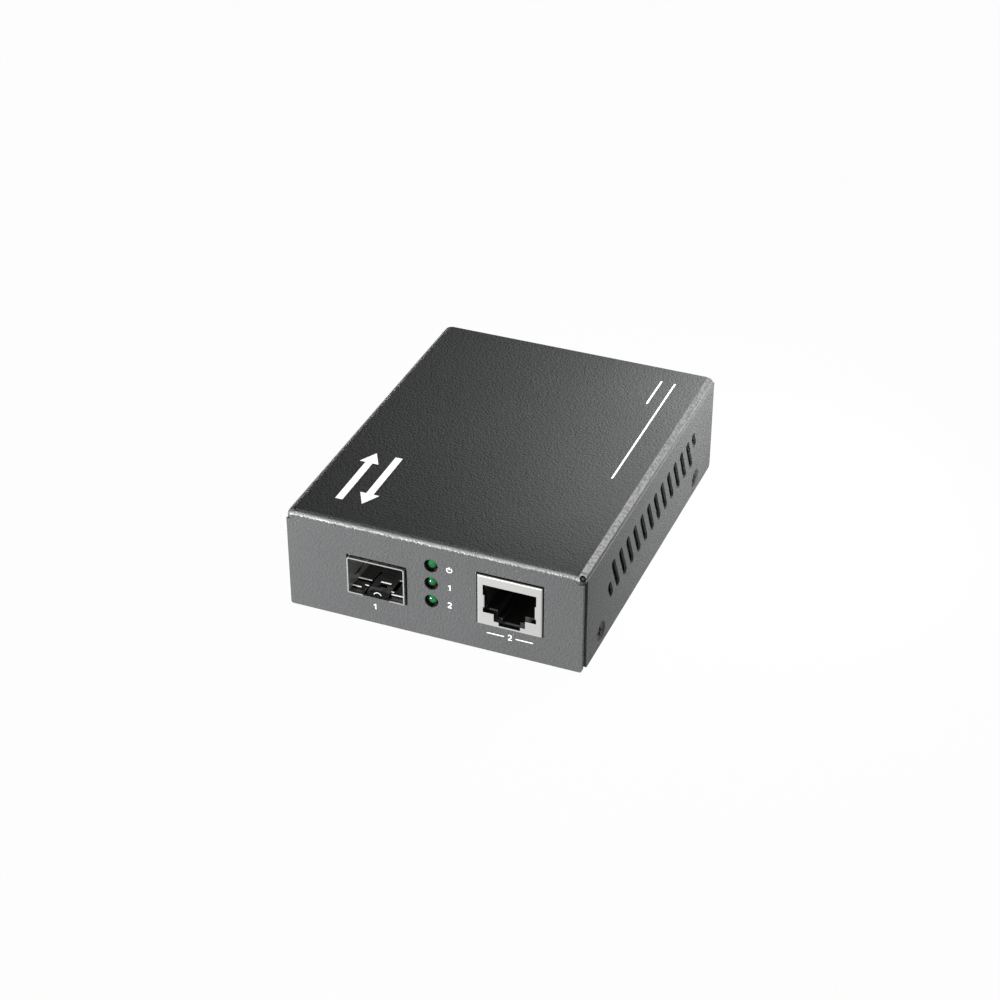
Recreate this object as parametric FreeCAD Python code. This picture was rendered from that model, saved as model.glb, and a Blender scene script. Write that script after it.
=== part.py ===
import FreeCAD, Part
import math
import os

# Fibre media converter: a folded steel case that holds a board with a transceiver slot at the left
# of the front, three status lights in the middle, a network jack at the right and a power inlet
# at the rear. Millimetres, +X right and +Z up when looking at the front, which faces -Y.
# The origin lies on the surface that the converter stands on, below the middle of the case.

# Case
CASE_WIDTH = 73.0
CASE_DEPTH = 94.5
CASE_HEIGHT = 26.0
FOOT_HEIGHT = 1.0
COVER_SHEET = 1.0
COVER_BEND = 0.75
FRONT_CORNER_GAP = 1.0
REAR_CORNER_GAP = 0.2
CORNER_RELIEF = 1.5
RELIEF_INSET = 1.05
FREE_CORNER = 0.6
END_WALL_INSET = 0.3
BASE_SHEET = 0.8
BASE_BEND = 0.5
BASE_END_GAP = 0.15
BASE_FLANGE = 7.4
BASE_LIP = 3.0
BASE_SETBACK = 1.6
BASE_CORNER = 0.9

# Vents in both side walls
VENT_COUNT = 12
VENT_PITCH = 4.9
VENT_WIDTH = 2.2
VENT_RISE = 9.7
VENT_TILT = 26.0
VENT_HEIGHT = 14.0
VENT_SHIFT = 0.6
END_VENT_RISE = 4.8
END_VENT_PITCH = 4.55

# Cover screws, two in each side wall, sunk in formed dimples
SCREW_FROM_FRONT = 11.75
SCREW_FROM_REAR = 13.55
SCREW_LIFT = 3.5
SCREW_RADIUS = 1.25
SCREW_LENGTH = 4.2
SCREW_HEAD = 2.3
SCREW_SUNK = 0.35
RECESS_WIDTH = 0.3
RECESS_REACH = 0.62
DIMPLE_RADIUS = 2.7
DIMPLE_RISE = 0.6
DIMPLE_WALL = 0.2
DIMPLE_SEAT = 0.05
THREAD_COLLAR = 0.9
THREAD_WALL = 0.75
THREAD_GAP = 0.03

# Feet
FOOT_RADIUS = 4.0
FOOT_FROM_SIDE = 12.5
FOOT_FROM_END = 11.25

# Board, its standoffs and its screws
BOARD_THICK = 1.6
BOARD_LIFT = 5.1
BOARD_SIDE_GAP = 0.5
BOARD_END_GAP = 0.65
BOARD_CORNER = 1.0
STANDOFF_FROM_SIDE = 3.05
STANDOFF_FROM_FRONT = 17.1
STANDOFF_FROM_REAR = 5.1
STANDOFF_RADIUS = 2.5
STANDOFF_SHANK = 2.0
BOARD_SCREW_RADIUS = 1.5
BOARD_SCREW_LENGTH = 6.0
BOARD_SCREW_HEAD = 2.75
BOARD_SCREW_HEAD_HEIGHT = 1.7
FIT_GAP = 0.05
HOLE_GAP = 0.2

# Transceiver slot
SLOT_FROM_LEFT = 22.6
SLOT_WIDTH = 14.3
SLOT_HEIGHT = 9.8
SLOT_LENGTH = 48.7
SLOT_PROUD = 0.7
SLOT_SHEET = 0.3
SLOT_BEND = 0.3
SLOT_CUT_GAP = 0.36
SLOT_FLOOR_LENGTH = 35.0
SLOT_NOTCH_WIDTH = 6.7
SLOT_NOTCH_DEPTH = 10.0
LATCH_WIDTH = 5.2
LATCH_HOLE = 2.6
LATCH_RISE = 0.7
LATCH_TIP = 1.0
LANCE_LENGTH = 6.0
LANCE_HEIGHT = 1.3
LANCE_REACH = 0.55
LANCE_SETBACK = 3.5
LANCE_SHARES = (0.16, 0.62)
SLOT_PIN = 0.7
SLOT_PIN_REACH = 2.4
SLOT_PIN_COUNT = 4
SLOT_PIN_END = 3.0
COLLAR_SHEET = 0.12
COLLAR_SETBACK = 1.6
COLLAR_BAND = 2.2
COLLAR_FINGER = 1.7
COLLAR_PITCH = 2.35
COLLAR_BULGE = 0.27
CONNECTOR_WIDTH = 12.6
CONNECTOR_DEPTH = 9.0
CONNECTOR_HEIGHT = 6.2
CONNECTOR_MOUTH_WIDTH = 9.6
CONNECTOR_MOUTH_HEIGHT = 1.5
CONNECTOR_MOUTH_DEPTH = 5.6
CONNECTOR_MOUTH_LIFT = 3.1
CONNECTOR_CONTACT_COUNT = 10
CONNECTOR_PITCH = 0.8
STRIP_SETBACK = 0.9
STRIP_THICK = 0.12
STRIP_BULGE = 0.3

# Network jack
JACK_FROM_RIGHT = 17.63
JACK_WIDTH = 15.9
JACK_HEIGHT = 13.4
JACK_LENGTH = 18.0
JACK_PROUD = 0.4
JACK_SHEET = 0.3
JACK_EDGE = 0.5
JACK_CUT_GAP_SIDE = 0.175
JACK_CUT_GAP_END = 0.28
PLUG_WIDTH = 12.86
PLUG_LOW = 3.3
PLUG_HIGH = 10.8
KEY_WIDTH = 7.6
KEY_LOW = 1.3
CLIP_WIDTH = 5.2
CLIP_LOW = 0.4
TAB_LOW = 4.6
TAB_HIGH = 8.0
TAB_REACH = 0.45
TAB_DEPTH = 0.9
HOUSING_SETBACK = 1.1
HOUSING_GAP = 0.1
HOUSING_STEP = 0.45
HOUSING_CAVITY = 12.3
HOUSING_REAR_GAP = 2.2
CONTACT_COUNT = 8
CONTACT_SETBACK = 2.0
CONTACT_PITCH = 1.02
CONTACT_WIDTH = 0.35
CONTACT_THICK = 0.3
CONTACT_DROP = 2.2
CONTACT_REACH = 8.0
CONTACT_GROOVE = 0.5
CONTACT_STAGGER = 1.3
CONTACT_TAIL = 1.0
PEG_RADIUS = 1.2
PEG_SPAN = 11.4

# Status lights
LIGHT_FROM_LEFT = 36.2
LIGHT_PITCH = 4.85
LIGHT_MIDDLE = 14.9
LIGHT_RADIUS = 1.5
LIGHT_HOLE_GAP = 0.2
LIGHT_SUNK = 0.1
LIGHT_LENGTH = 5.2
LIGHT_RIM = 0.25
LIGHT_RIM_LENGTH = 1.0
HOLDER_WIDTH = 4.8
HOLDER_GAP = 0.15
LEAD_SIZE = 0.5
LEAD_SPREAD = 2.54
LEAD_STEP = 1.3
LEAD_SETBACK = 0.4
LEAD_REACH = 1.4

# Power inlet
INLET_FROM_RIGHT = 14.5
INLET_WIDTH = 9.0
INLET_HEIGHT = 11.0
INLET_LENGTH = 14.2
INLET_AXIS = 6.5
INLET_BORE = 3.2
INLET_BORE_DEPTH = 9.5
INLET_FACE = 3.4
INLET_BARREL = 4.2
INLET_PIN = 1.05
INLET_PIN_SUNK = 0.6
INLET_HOLE = 4.1
INLET_GAP = 0.1
TERMINAL_WIDTH = 2.4
TERMINAL_THICK = 0.4
TERMINAL_REACH = 1.4
TERMINAL_ROOT = 1.2
TERMINAL_SETBACK = 0.7
TERMINAL_SPAN = 6.0

# Parts on the board. Those near the front are placed from the middle of the jack's rear, to the side
# and backwards, and those near the rear from the right end of the board, to the left and forwards.
TRANSFORMER_SIZE = (12.0, 16.0, 5.6)
TRANSFORMER_OFFSET = (0.0, 11.65)
TRANSFORMER_LEAD_COUNT = 10
TRANSFORMER_PITCH = 1.5
CHIP_SIZE = (9.0, 9.0, 0.9)
CHIP_OFFSET = (-6.87, 35.65)
CHIP_LEAD_PITCH = 1.27
CHIP_LEAD_WIDTH = 0.42
LEAD_SHEET = 0.22
LEAD_OUT = 0.5
LEAD_FOOT = 0.9
BODY_LIFT = 0.15
BODY_DRAW = 0.12
BODY_NOTCH = 0.5
MEMORY_SIZE = (3.9, 4.9, 1.4)
MEMORY_OFFSET = (7.13, 31.65)
SMALL_LEAD_COUNT = 4
CRYSTAL_SIZE = (11.4, 4.6, 3.4)
CRYSTAL_OFFSET = (-6.87, 46.65)
CRYSTAL_RIM = 0.4
CHIP_CAPACITOR_SIZE = (1.6, 0.9, 0.8)
CHIP_CAPACITOR_OFFSET = (-15.87, 26.45)
CHIP_RESISTOR_SIZE = (1.6, 0.8, 0.45)
CHIP_RESISTOR_OFFSET = (-15.87, 42.65)
CHIP_ROW_PITCH = 2.2
CHIP_ROW_COUNT = 8
INDUCTOR_SIZE = (6.6, 6.6, 3.0)
INDUCTOR_OFFSET = (27.55, 11.6)
INDUCTOR_LID = 0.5
INDUCTOR_LID_INSET = 0.5
INDUCTOR_CORNER = 1.3
REGULATOR_SIZE = (3.9, 4.9, 1.4)
REGULATOR_OFFSET = (36.55, 11.6)
CAPACITOR_RADIUS = 3.15
CAPACITOR_HEIGHT = 6.0
CAPACITOR_BASE = 1.0
CAPACITOR_WAIST = 0.25
CAPACITOR_OFFSET = (45.15, 12.6)
CAPACITOR_PITCH = 8.4
CAPACITOR_COUNT = 2

# Places that follow from the sizes
CASE_FLOOR = FOOT_HEIGHT
CASE_TOP = FOOT_HEIGHT + CASE_HEIGHT
HALF_WIDTH = CASE_WIDTH / 2
HALF_DEPTH = CASE_DEPTH / 2
FRONT = -HALF_DEPTH
REAR = HALF_DEPTH
PANEL_INSIDE = FRONT + COVER_SHEET
BASE_HALF_WIDTH = HALF_WIDTH - COVER_SHEET - DIMPLE_RISE - DIMPLE_SEAT
BASE_HALF_DEPTH = HALF_DEPTH - COVER_SHEET - BASE_END_GAP
BASE_INSIDE = CASE_FLOOR + BASE_SHEET
BOARD_BOTTOM = BASE_INSIDE + BOARD_LIFT
BOARD_TOP = BOARD_BOTTOM + BOARD_THICK
BOARD_HALF_WIDTH = BASE_HALF_WIDTH - BASE_SHEET - BOARD_SIDE_GAP
BOARD_HALF_DEPTH = HALF_DEPTH - COVER_SHEET - BOARD_END_GAP
SCREW_HEIGHT = CASE_FLOOR + SCREW_LIFT
SLOT_X = -HALF_WIDTH + SLOT_FROM_LEFT
SLOT_FRONT = FRONT - SLOT_PROUD
SLOT_REAR = SLOT_FRONT + SLOT_LENGTH
SLOT_TOP = BOARD_TOP + SLOT_HEIGHT
SLOT_INSIDE = SLOT_WIDTH / 2 - SLOT_SHEET
JACK_X = HALF_WIDTH - JACK_FROM_RIGHT
JACK_FRONT = FRONT - JACK_PROUD
JACK_REAR = JACK_FRONT + JACK_LENGTH
JACK_TOP = BOARD_TOP + JACK_HEIGHT
HOUSING_FRONT = JACK_FRONT + JACK_SHEET + HOUSING_SETBACK
HOUSING_REAR = JACK_REAR - JACK_SHEET - HOUSING_REAR_GAP
HOUSING_CEILING = BOARD_TOP + PLUG_HIGH - HOUSING_STEP
LIGHT_HEIGHTS = [CASE_FLOOR + LIGHT_MIDDLE + LIGHT_PITCH * step for step in (1, 0, -1)]
LIGHT_X = -HALF_WIDTH + LIGHT_FROM_LEFT
LIGHT_TIP = FRONT + LIGHT_SUNK
HOLDER_FRONT = PANEL_INSIDE + HOLDER_GAP
LIGHT_REAR = LIGHT_TIP + LIGHT_LENGTH
HOLDER_REAR = LIGHT_REAR - LIGHT_RIM_LENGTH
INLET_X = HALF_WIDTH - INLET_FROM_RIGHT
INLET_REAR = REAR - COVER_SHEET - INLET_GAP
INLET_FRONT = INLET_REAR - INLET_LENGTH
INLET_HEIGHT_ABOVE = BOARD_TOP + INLET_AXIS



def behind_jack(offset):
    """Place on the board, from its offset from the middle of the jack's rear."""
    return JACK_X + offset[0], JACK_REAR + offset[1]


def before_rear(offset):
    """Place on the board, from its offset from the board's right rear corner."""
    return BOARD_HALF_WIDTH - offset[0], BOARD_HALF_DEPTH - offset[1]


TRANSFORMER_PLACE = behind_jack(TRANSFORMER_OFFSET)
CHIP_PLACE = behind_jack(CHIP_OFFSET)
MEMORY_PLACE = behind_jack(MEMORY_OFFSET)
CRYSTAL_PLACE = behind_jack(CRYSTAL_OFFSET)
CHIP_CAPACITOR_ROW = behind_jack(CHIP_CAPACITOR_OFFSET)
CHIP_RESISTOR_ROW = behind_jack(CHIP_RESISTOR_OFFSET)
INDUCTOR_PLACE = before_rear(INDUCTOR_OFFSET)
REGULATOR_PLACE = before_rear(REGULATOR_OFFSET)
CAPACITOR_ROW = before_rear(CAPACITOR_OFFSET)

TINY = 1e-7
PIECES = {}


def point_on(plane, u, v, w):
    """Point with the in-plane coordinates u and v, at the distance w along the plane's normal."""
    if plane == "XY":
        return FreeCAD.Vector(u, v, w)
    if plane == "XZ":
        return FreeCAD.Vector(u, w, v)
    return FreeCAD.Vector(w, u, v)


def rounded_wire(corners, plane, level):
    """Closed outline through corners (u, v, radius), with a tangent arc at each rounded corner."""
    stops = []
    count = len(corners)
    for index, (u, v, radius) in enumerate(corners):
        here = FreeCAD.Vector(u, v, 0)
        before = FreeCAD.Vector(*corners[index - 1][:2], 0) - here
        after = FreeCAD.Vector(*corners[(index + 1) % count][:2], 0) - here
        if radius <= TINY:
            stops.append((here, here, here))
            continue
        before.normalize()
        after.normalize()
        half_turn = before.getAngle(after) / 2
        run = radius / math.tan(half_turn)
        inward = (before + after).normalize()
        middle = here + inward * (radius / math.sin(half_turn) - radius)
        stops.append((here + before * run, middle, here + after * run))
    edges = []
    for index, (start, middle, end) in enumerate(stops):
        if (end - start).Length > TINY:
            arc_points = [point_on(plane, p.x, p.y, level) for p in (start, middle, end)]
            edges.append(Part.Arc(*arc_points).toShape())
        following = stops[(index + 1) % count][0]
        if (following - end).Length > TINY:
            run_points = [point_on(plane, p.x, p.y, level) for p in (end, following)]
            edges.append(Part.LineSegment(*run_points).toShape())
    return Part.Wire(edges)


def prism(corners, plane, low, high):
    """Outline of corners (u, v, radius) drawn on a plane and extruded from low to high."""
    face = Part.Face(rounded_wire(corners, plane, low))
    return face.extrude(point_on(plane, 0, 0, high - low))


def rectangle(u_low, u_high, v_low, v_high, radius=0.0):
    """Corners of a rectangle, all with the same radius."""
    return [(u_low, v_low, radius), (u_high, v_low, radius),
            (u_high, v_high, radius), (u_low, v_high, radius)]


def sharp(points):
    """Corners without rounding."""
    return [(u, v, 0.0) for u, v in points]


def block(size, centre, bottom, edge=0.0):
    """Upright block whose plan has rounded corners."""
    width, depth, height = size
    x, y = centre
    plan = rectangle(x - width / 2, x + width / 2, y - depth / 2, y + depth / 2, edge)
    return prism(plan, "XY", bottom, bottom + height)


def turned(profile, base, axis):
    """Body turned from a half profile of (radius, distance along the axis, corner radius)."""
    face = Part.Face(rounded_wire(profile, "XZ", 0.0))
    body = face.revolve(FreeCAD.Vector(0, 0, 0), FreeCAD.Vector(0, 0, 1), 360)
    body.Placement = FreeCAD.Placement(base, FreeCAD.Rotation(FreeCAD.Vector(0, 0, 1), axis))
    return body


def rod(radius, base, axis, length):
    """Plain cylinder."""
    return Part.makeCylinder(radius, length, base, axis)


def fused(shapes):
    """One solid from several that touch."""
    first = shapes[0]
    return first.multiFuse(shapes[1:]).removeSplitter() if len(shapes) > 1 else first


def keep(name, *shapes):
    """Keep the solids of one node."""
    PIECES[name] = [solid for shape in shapes for solid in shape.Solids]


def folded_pan(half_width, half_depth, side_wall, end_wall, sheet, bend, setbacks, inset, corner):
    """Open pan folded from one sheet, its floor at zero height and its walls standing up.

    The side walls stop short of the two end walls by the two setbacks, and the end walls stop
    short of the side faces by the inset.
    """
    outer = bend + sheet

    def channel(half, wall, plane, start, stop):
        inner = half - sheet
        section = [(-half, wall, 0), (-half, 0, outer), (half, 0, outer), (half, wall, 0),
                   (inner, wall, 0), (inner, sheet, bend), (-inner, sheet, bend), (-inner, wall, 0)]
        return prism(section, plane, start, stop)

    start, stop = setbacks[0] - half_depth, half_depth - setbacks[1]
    side_outline = [(start, 0, 0), (stop, 0, 0), (stop, side_wall, corner), (start, side_wall, corner)]
    reach = half_width - inset
    end_outline = [(-reach, 0, outer), (reach, 0, outer),
                   (reach, end_wall, corner), (-reach, end_wall, corner)]
    sides = channel(half_width, side_wall, "XZ", start, stop)
    sides = sides.common(prism(side_outline, "YZ", -half_width, half_width))
    ends = channel(half_depth, end_wall, "YZ", -reach, reach)
    ends = ends.common(prism(end_outline, "XZ", -half_depth, half_depth))
    return fused([sides, ends])


def side_screw_places():
    """Axis of each cover screw: the side it is on, and its place along the case."""
    for side in (-1, 1):
        yield side, FRONT + SCREW_FROM_FRONT
        yield side, REAR - SCREW_FROM_REAR


def slanted_vent(y, height, rise):
    """Round-ended slot through both side walls, its upper end leaning towards the front."""
    tilt = math.radians(VENT_TILT)
    half_length = (rise - VENT_WIDTH) / math.cos(tilt) / 2 + VENT_WIDTH / 2
    half = VENT_WIDTH / 2
    corners = []
    for along, across in ((-1, -1), (-1, 1), (1, 1), (1, -1)):
        a, c = along * half_length, across * half
        corners.append((y - a * math.sin(tilt) + c * math.cos(tilt),
                        height + a * math.cos(tilt) + c * math.sin(tilt), half))
    return prism(corners, "YZ", -HALF_WIDTH, HALF_WIDTH)


def vents():
    """All slots of the two side walls, with a half-length one at each end of the row."""
    middle = CASE_FLOOR + VENT_HEIGHT
    first = VENT_SHIFT - (VENT_COUNT - 1) / 2 * VENT_PITCH
    slots = [slanted_vent(first + index * VENT_PITCH, middle, VENT_RISE) for index in range(VENT_COUNT)]
    drop = (VENT_RISE - END_VENT_RISE) / 2
    lean = drop * math.tan(math.radians(VENT_TILT))
    last = first + (VENT_COUNT - 1) * VENT_PITCH
    slots.append(slanted_vent(first - END_VENT_PITCH + lean, middle - drop, END_VENT_RISE))
    slots.append(slanted_vent(last + END_VENT_PITCH - lean, middle + drop, END_VENT_RISE))
    return slots


def cover():
    """Five-sided cover folded from one sheet, with its dimples, vents and cut-outs."""
    setbacks = (COVER_SHEET + REAR_CORNER_GAP, COVER_SHEET + FRONT_CORNER_GAP)
    shell = folded_pan(HALF_WIDTH, HALF_DEPTH, CASE_HEIGHT, CASE_HEIGHT, COVER_SHEET, COVER_BEND,
                       setbacks, END_WALL_INSET, FREE_CORNER)
    across = HALF_WIDTH - RELIEF_INSET
    along = HALF_DEPTH - RELIEF_INSET
    shell = shell.cut([Part.makeSphere(CORNER_RELIEF, FreeCAD.Vector(x, y, RELIEF_INSET))
                       for x in (-across, across) for y in (-along, along)])
    shell.rotate(FreeCAD.Vector(0, 0, 0), FreeCAD.Vector(1, 0, 0), 180)
    shell.translate(FreeCAD.Vector(0, 0, CASE_TOP))
    hole = SCREW_RADIUS + HOLE_GAP
    lip = DIMPLE_RADIUS + DIMPLE_WALL
    seat = COVER_SHEET + DIMPLE_RISE
    rises = []
    sinks = []
    for side, y in side_screw_places():
        start = FreeCAD.Vector(side * HALF_WIDTH, y, SCREW_HEIGHT)
        inward = FreeCAD.Vector(-side, 0, 0)
        rise = [(0, COVER_SHEET, 0), (lip, COVER_SHEET, 0), (lip, seat, 0), (0, seat, 0)]
        sink = [(0, 0, 0), (DIMPLE_RADIUS, 0, 0), (hole, DIMPLE_RADIUS - hole, 0),
                (hole, seat, 0), (0, seat, 0)]
        rises.append(turned(rise, start, inward))
        sinks.append(turned(sink, start, inward))
    shell = fused([shell] + rises)
    slot_middle = BOARD_TOP + SLOT_HEIGHT / 2
    slot_cut = rectangle(SLOT_X - SLOT_WIDTH / 2 - SLOT_CUT_GAP, SLOT_X + SLOT_WIDTH / 2 + SLOT_CUT_GAP,
                         slot_middle - SLOT_HEIGHT / 2 - SLOT_CUT_GAP,
                         slot_middle + SLOT_HEIGHT / 2 + SLOT_CUT_GAP)
    jack_cut = rectangle(JACK_X - JACK_WIDTH / 2 - JACK_CUT_GAP_SIDE,
                         JACK_X + JACK_WIDTH / 2 + JACK_CUT_GAP_SIDE,
                         BOARD_TOP - JACK_CUT_GAP_END, JACK_TOP + JACK_CUT_GAP_END)
    cuts = [prism(slot_cut, "XZ", FRONT, PANEL_INSIDE), prism(jack_cut, "XZ", FRONT, PANEL_INSIDE)]
    back = FreeCAD.Vector(0, 1, 0)
    for height in LIGHT_HEIGHTS:
        cuts.append(rod(LIGHT_RADIUS + LIGHT_HOLE_GAP, FreeCAD.Vector(LIGHT_X, FRONT, height), back,
                        COVER_SHEET))
    inlet_start = FreeCAD.Vector(INLET_X, REAR - COVER_SHEET, INLET_HEIGHT_ABOVE)
    cuts.append(rod(INLET_HOLE, inlet_start, back, COVER_SHEET))
    return shell.cut(cuts + sinks + vents())


def base_plate():
    """Tray that closes the case from below, with threaded collars in its side flanges."""
    tray = folded_pan(BASE_HALF_WIDTH, BASE_HALF_DEPTH, BASE_FLANGE, BASE_LIP, BASE_SHEET, BASE_BEND,
                      (BASE_SETBACK, BASE_SETBACK), 0, BASE_CORNER)
    tray.translate(FreeCAD.Vector(0, 0, CASE_FLOOR))
    hole = SCREW_RADIUS + THREAD_GAP
    collars = []
    holes = []
    for side, y in side_screw_places():
        start = FreeCAD.Vector(side * BASE_HALF_WIDTH, y, SCREW_HEIGHT)
        inward = FreeCAD.Vector(-side, 0, 0)
        depth = BASE_SHEET + THREAD_COLLAR
        ring = [(hole, BASE_SHEET, 0), (hole + THREAD_WALL, BASE_SHEET, 0),
                (hole + THREAD_WALL, depth, 0), (hole, depth, 0)]
        collars.append(turned(ring, start, inward))
        holes.append(rod(hole, start, inward, BASE_SHEET))
    tray = fused([tray] + collars).cut(holes)
    clinches = [rod(STANDOFF_SHANK, FreeCAD.Vector(x, y, CASE_FLOOR), FreeCAD.Vector(0, 0, 1), BASE_SHEET)
                for x, y in standoff_places()]
    return tray.cut(clinches)


def cross_recess(radius, depth, base, axis):
    """Cross-shaped driver recess that narrows towards its bottom, in a head of the given radius."""
    width, reach = radius * RECESS_WIDTH, radius * RECESS_REACH
    levels = []
    for level, arm in ((0, reach), (depth, width)):
        half = width / 2
        quarter = [(arm, -half), (arm, half), (half, half)]
        corners = []
        for turn in range(4):
            corners += [(u, v) for u, v in quarter]
            quarter = [(-v, u) for u, v in quarter]
        levels.append(rounded_wire(sharp(corners), "XY", level))
    cross = Part.makeLoft(levels, True, True)
    cross.Placement = FreeCAD.Placement(base, FreeCAD.Rotation(FreeCAD.Vector(0, 0, 1), axis))
    return cross


def cover_screws():
    """Countersunk screws of the cover."""
    screws = []
    for side, y in side_screw_places():
        start = FreeCAD.Vector(side * (HALF_WIDTH - SCREW_SUNK), y, SCREW_HEIGHT)
        inward = FreeCAD.Vector(-side, 0, 0)
        neck = SCREW_HEAD - SCREW_RADIUS
        profile = [(0, 0, 0), (SCREW_HEAD - FIT_GAP, 0, 0), (SCREW_RADIUS, neck - FIT_GAP, 0),
                   (SCREW_RADIUS, SCREW_LENGTH, 0), (0, SCREW_LENGTH, 0)]
        recess = cross_recess(SCREW_HEAD, neck, start, inward)
        screws.append(turned(profile, start, inward).cut(recess))
    return screws


def foot_places():
    """Middle of each foot."""
    for side in (-1, 1):
        for end in (-1, 1):
            yield side * (HALF_WIDTH - FOOT_FROM_SIDE), end * (HALF_DEPTH - FOOT_FROM_END)


def rubber_feet():
    """Low round feet below the tray."""
    up = FreeCAD.Vector(0, 0, 1)
    return [rod(FOOT_RADIUS, FreeCAD.Vector(x, y, 0), up, FOOT_HEIGHT) for x, y in foot_places()]


def standoff_places():
    """Middle of each board standoff."""
    for side in (-1, 1):
        x = side * (BOARD_HALF_WIDTH - STANDOFF_FROM_SIDE)
        yield x, -BOARD_HALF_DEPTH + STANDOFF_FROM_FRONT
        yield x, BOARD_HALF_DEPTH - STANDOFF_FROM_REAR


def board_standoffs():
    """Six-sided threaded studs clinched into the tray."""
    up = FreeCAD.Vector(0, 0, 1)
    corner = STANDOFF_RADIUS / math.cos(math.pi / 6)
    studs = []
    for x, y in standoff_places():
        base = FreeCAD.Vector(x, y, CASE_FLOOR)
        flats = [(x + corner * math.cos(turn * math.pi / 3), y + corner * math.sin(turn * math.pi / 3))
                 for turn in range(6)]
        stud = prism(sharp(flats), "XY", BASE_INSIDE, BOARD_BOTTOM)
        stud = fused([stud, rod(STANDOFF_SHANK, base, up, BASE_SHEET)])
        studs.append(stud.cut(rod(BOARD_SCREW_RADIUS + THREAD_GAP, base, up, BASE_SHEET + BOARD_LIFT)))
    return studs


def board_screws():
    """Flat-headed screws that hold the board on its standoffs."""
    screws = []
    down = FreeCAD.Vector(0, 0, -1)
    head = BOARD_SCREW_HEAD_HEIGHT
    for x, y in standoff_places():
        top = FreeCAD.Vector(x, y, BOARD_TOP + head)
        shank = rod(BOARD_SCREW_RADIUS, top, down, head + BOARD_SCREW_LENGTH)
        screws.append(fused([rod(BOARD_SCREW_HEAD, top, down, head), shank]))
    return screws


def slot_pin_places():
    """Press-in pins of the slot cage: side and place along the cage."""
    first = -BOARD_HALF_DEPTH + SLOT_PIN_END
    last = SLOT_REAR - SLOT_PIN_END
    for side in (-1, 1):
        for step in range(SLOT_PIN_COUNT):
            yield side, first + (last - first) * step / (SLOT_PIN_COUNT - 1)


def light_lead_places():
    """Each light's lead row: the light's height and how far back its leads turn down."""
    for index, height in enumerate(LIGHT_HEIGHTS):
        yield height, LIGHT_REAR + LEAD_SETBACK + (len(LIGHT_HEIGHTS) - 1 - index) * LEAD_STEP


def contact_places():
    """Each network contact: its place across the jack and the near side of its tail."""
    for index in range(CONTACT_COUNT):
        x = JACK_X + (index - (CONTACT_COUNT - 1) / 2) * CONTACT_PITCH
        yield x, HOUSING_REAR + FIT_GAP + (index % 2) * CONTACT_STAGGER


def jack_peg_places():
    """Locating pegs below the network jack."""
    for side in (-1, 1):
        yield JACK_X + side * PEG_SPAN / 2, (HOUSING_FRONT + HOUSING_REAR) / 2


def terminal_places():
    """Near side of each solder terminal of the power inlet."""
    return [INLET_FRONT + TERMINAL_SETBACK, INLET_FRONT + TERMINAL_SETBACK + TERMINAL_SPAN]


def small_hole(half, x, y):
    """Hole with eight flats through the board, clear of a lead of the given half width."""
    flat = (half + HOLE_GAP) * math.tan(math.pi / 8)
    reach = half + HOLE_GAP
    corners = []
    corner = [(reach, flat), (flat, reach)]
    for turn in range(4):
        corners += [(x + u, y + v) for u, v in corner]
        corner = [(-v, u) for u, v in corner]
    return prism(sharp(corners), "XY", BOARD_BOTTOM, BOARD_TOP)


def circuit_board():
    """Board with holes for its screws and for everything that is pushed through it."""
    plan = rectangle(-BOARD_HALF_WIDTH, BOARD_HALF_WIDTH, -BOARD_HALF_DEPTH, BOARD_HALF_DEPTH, BOARD_CORNER)
    board = prism(plan, "XY", BOARD_BOTTOM, BOARD_TOP)
    up = FreeCAD.Vector(0, 0, 1)
    holes = [rod(BOARD_SCREW_RADIUS + HOLE_GAP, FreeCAD.Vector(x, y, BOARD_BOTTOM), up, BOARD_THICK)
             for x, y in standoff_places()]
    for side, y in slot_pin_places():
        x = SLOT_X + side * (SLOT_WIDTH - SLOT_SHEET) / 2
        holes.append(small_hole(SLOT_PIN / 2, x, y))
    for _, y in light_lead_places():
        for side in (-1, 1):
            x = LIGHT_X + side * LEAD_SPREAD / 2
            holes.append(small_hole(LEAD_SIZE / 2, x, y))
    for x, y in contact_places():
        holes.append(small_hole(CONTACT_WIDTH / 2, x, y + CONTACT_THICK / 2))
    for x, y in jack_peg_places():
        holes.append(rod(PEG_RADIUS + HOLE_GAP / 2, FreeCAD.Vector(x, y, BOARD_BOTTOM), up, BOARD_THICK))
    for y in terminal_places():
        half = TERMINAL_WIDTH / 2 + HOLE_GAP
        slot = rectangle(INLET_X - half, INLET_X + half, y - HOLE_GAP, y + TERMINAL_THICK + HOLE_GAP)
        holes.append(prism(slot, "XY", BOARD_BOTTOM, BOARD_TOP))
    return board.cut(holes)


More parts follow.
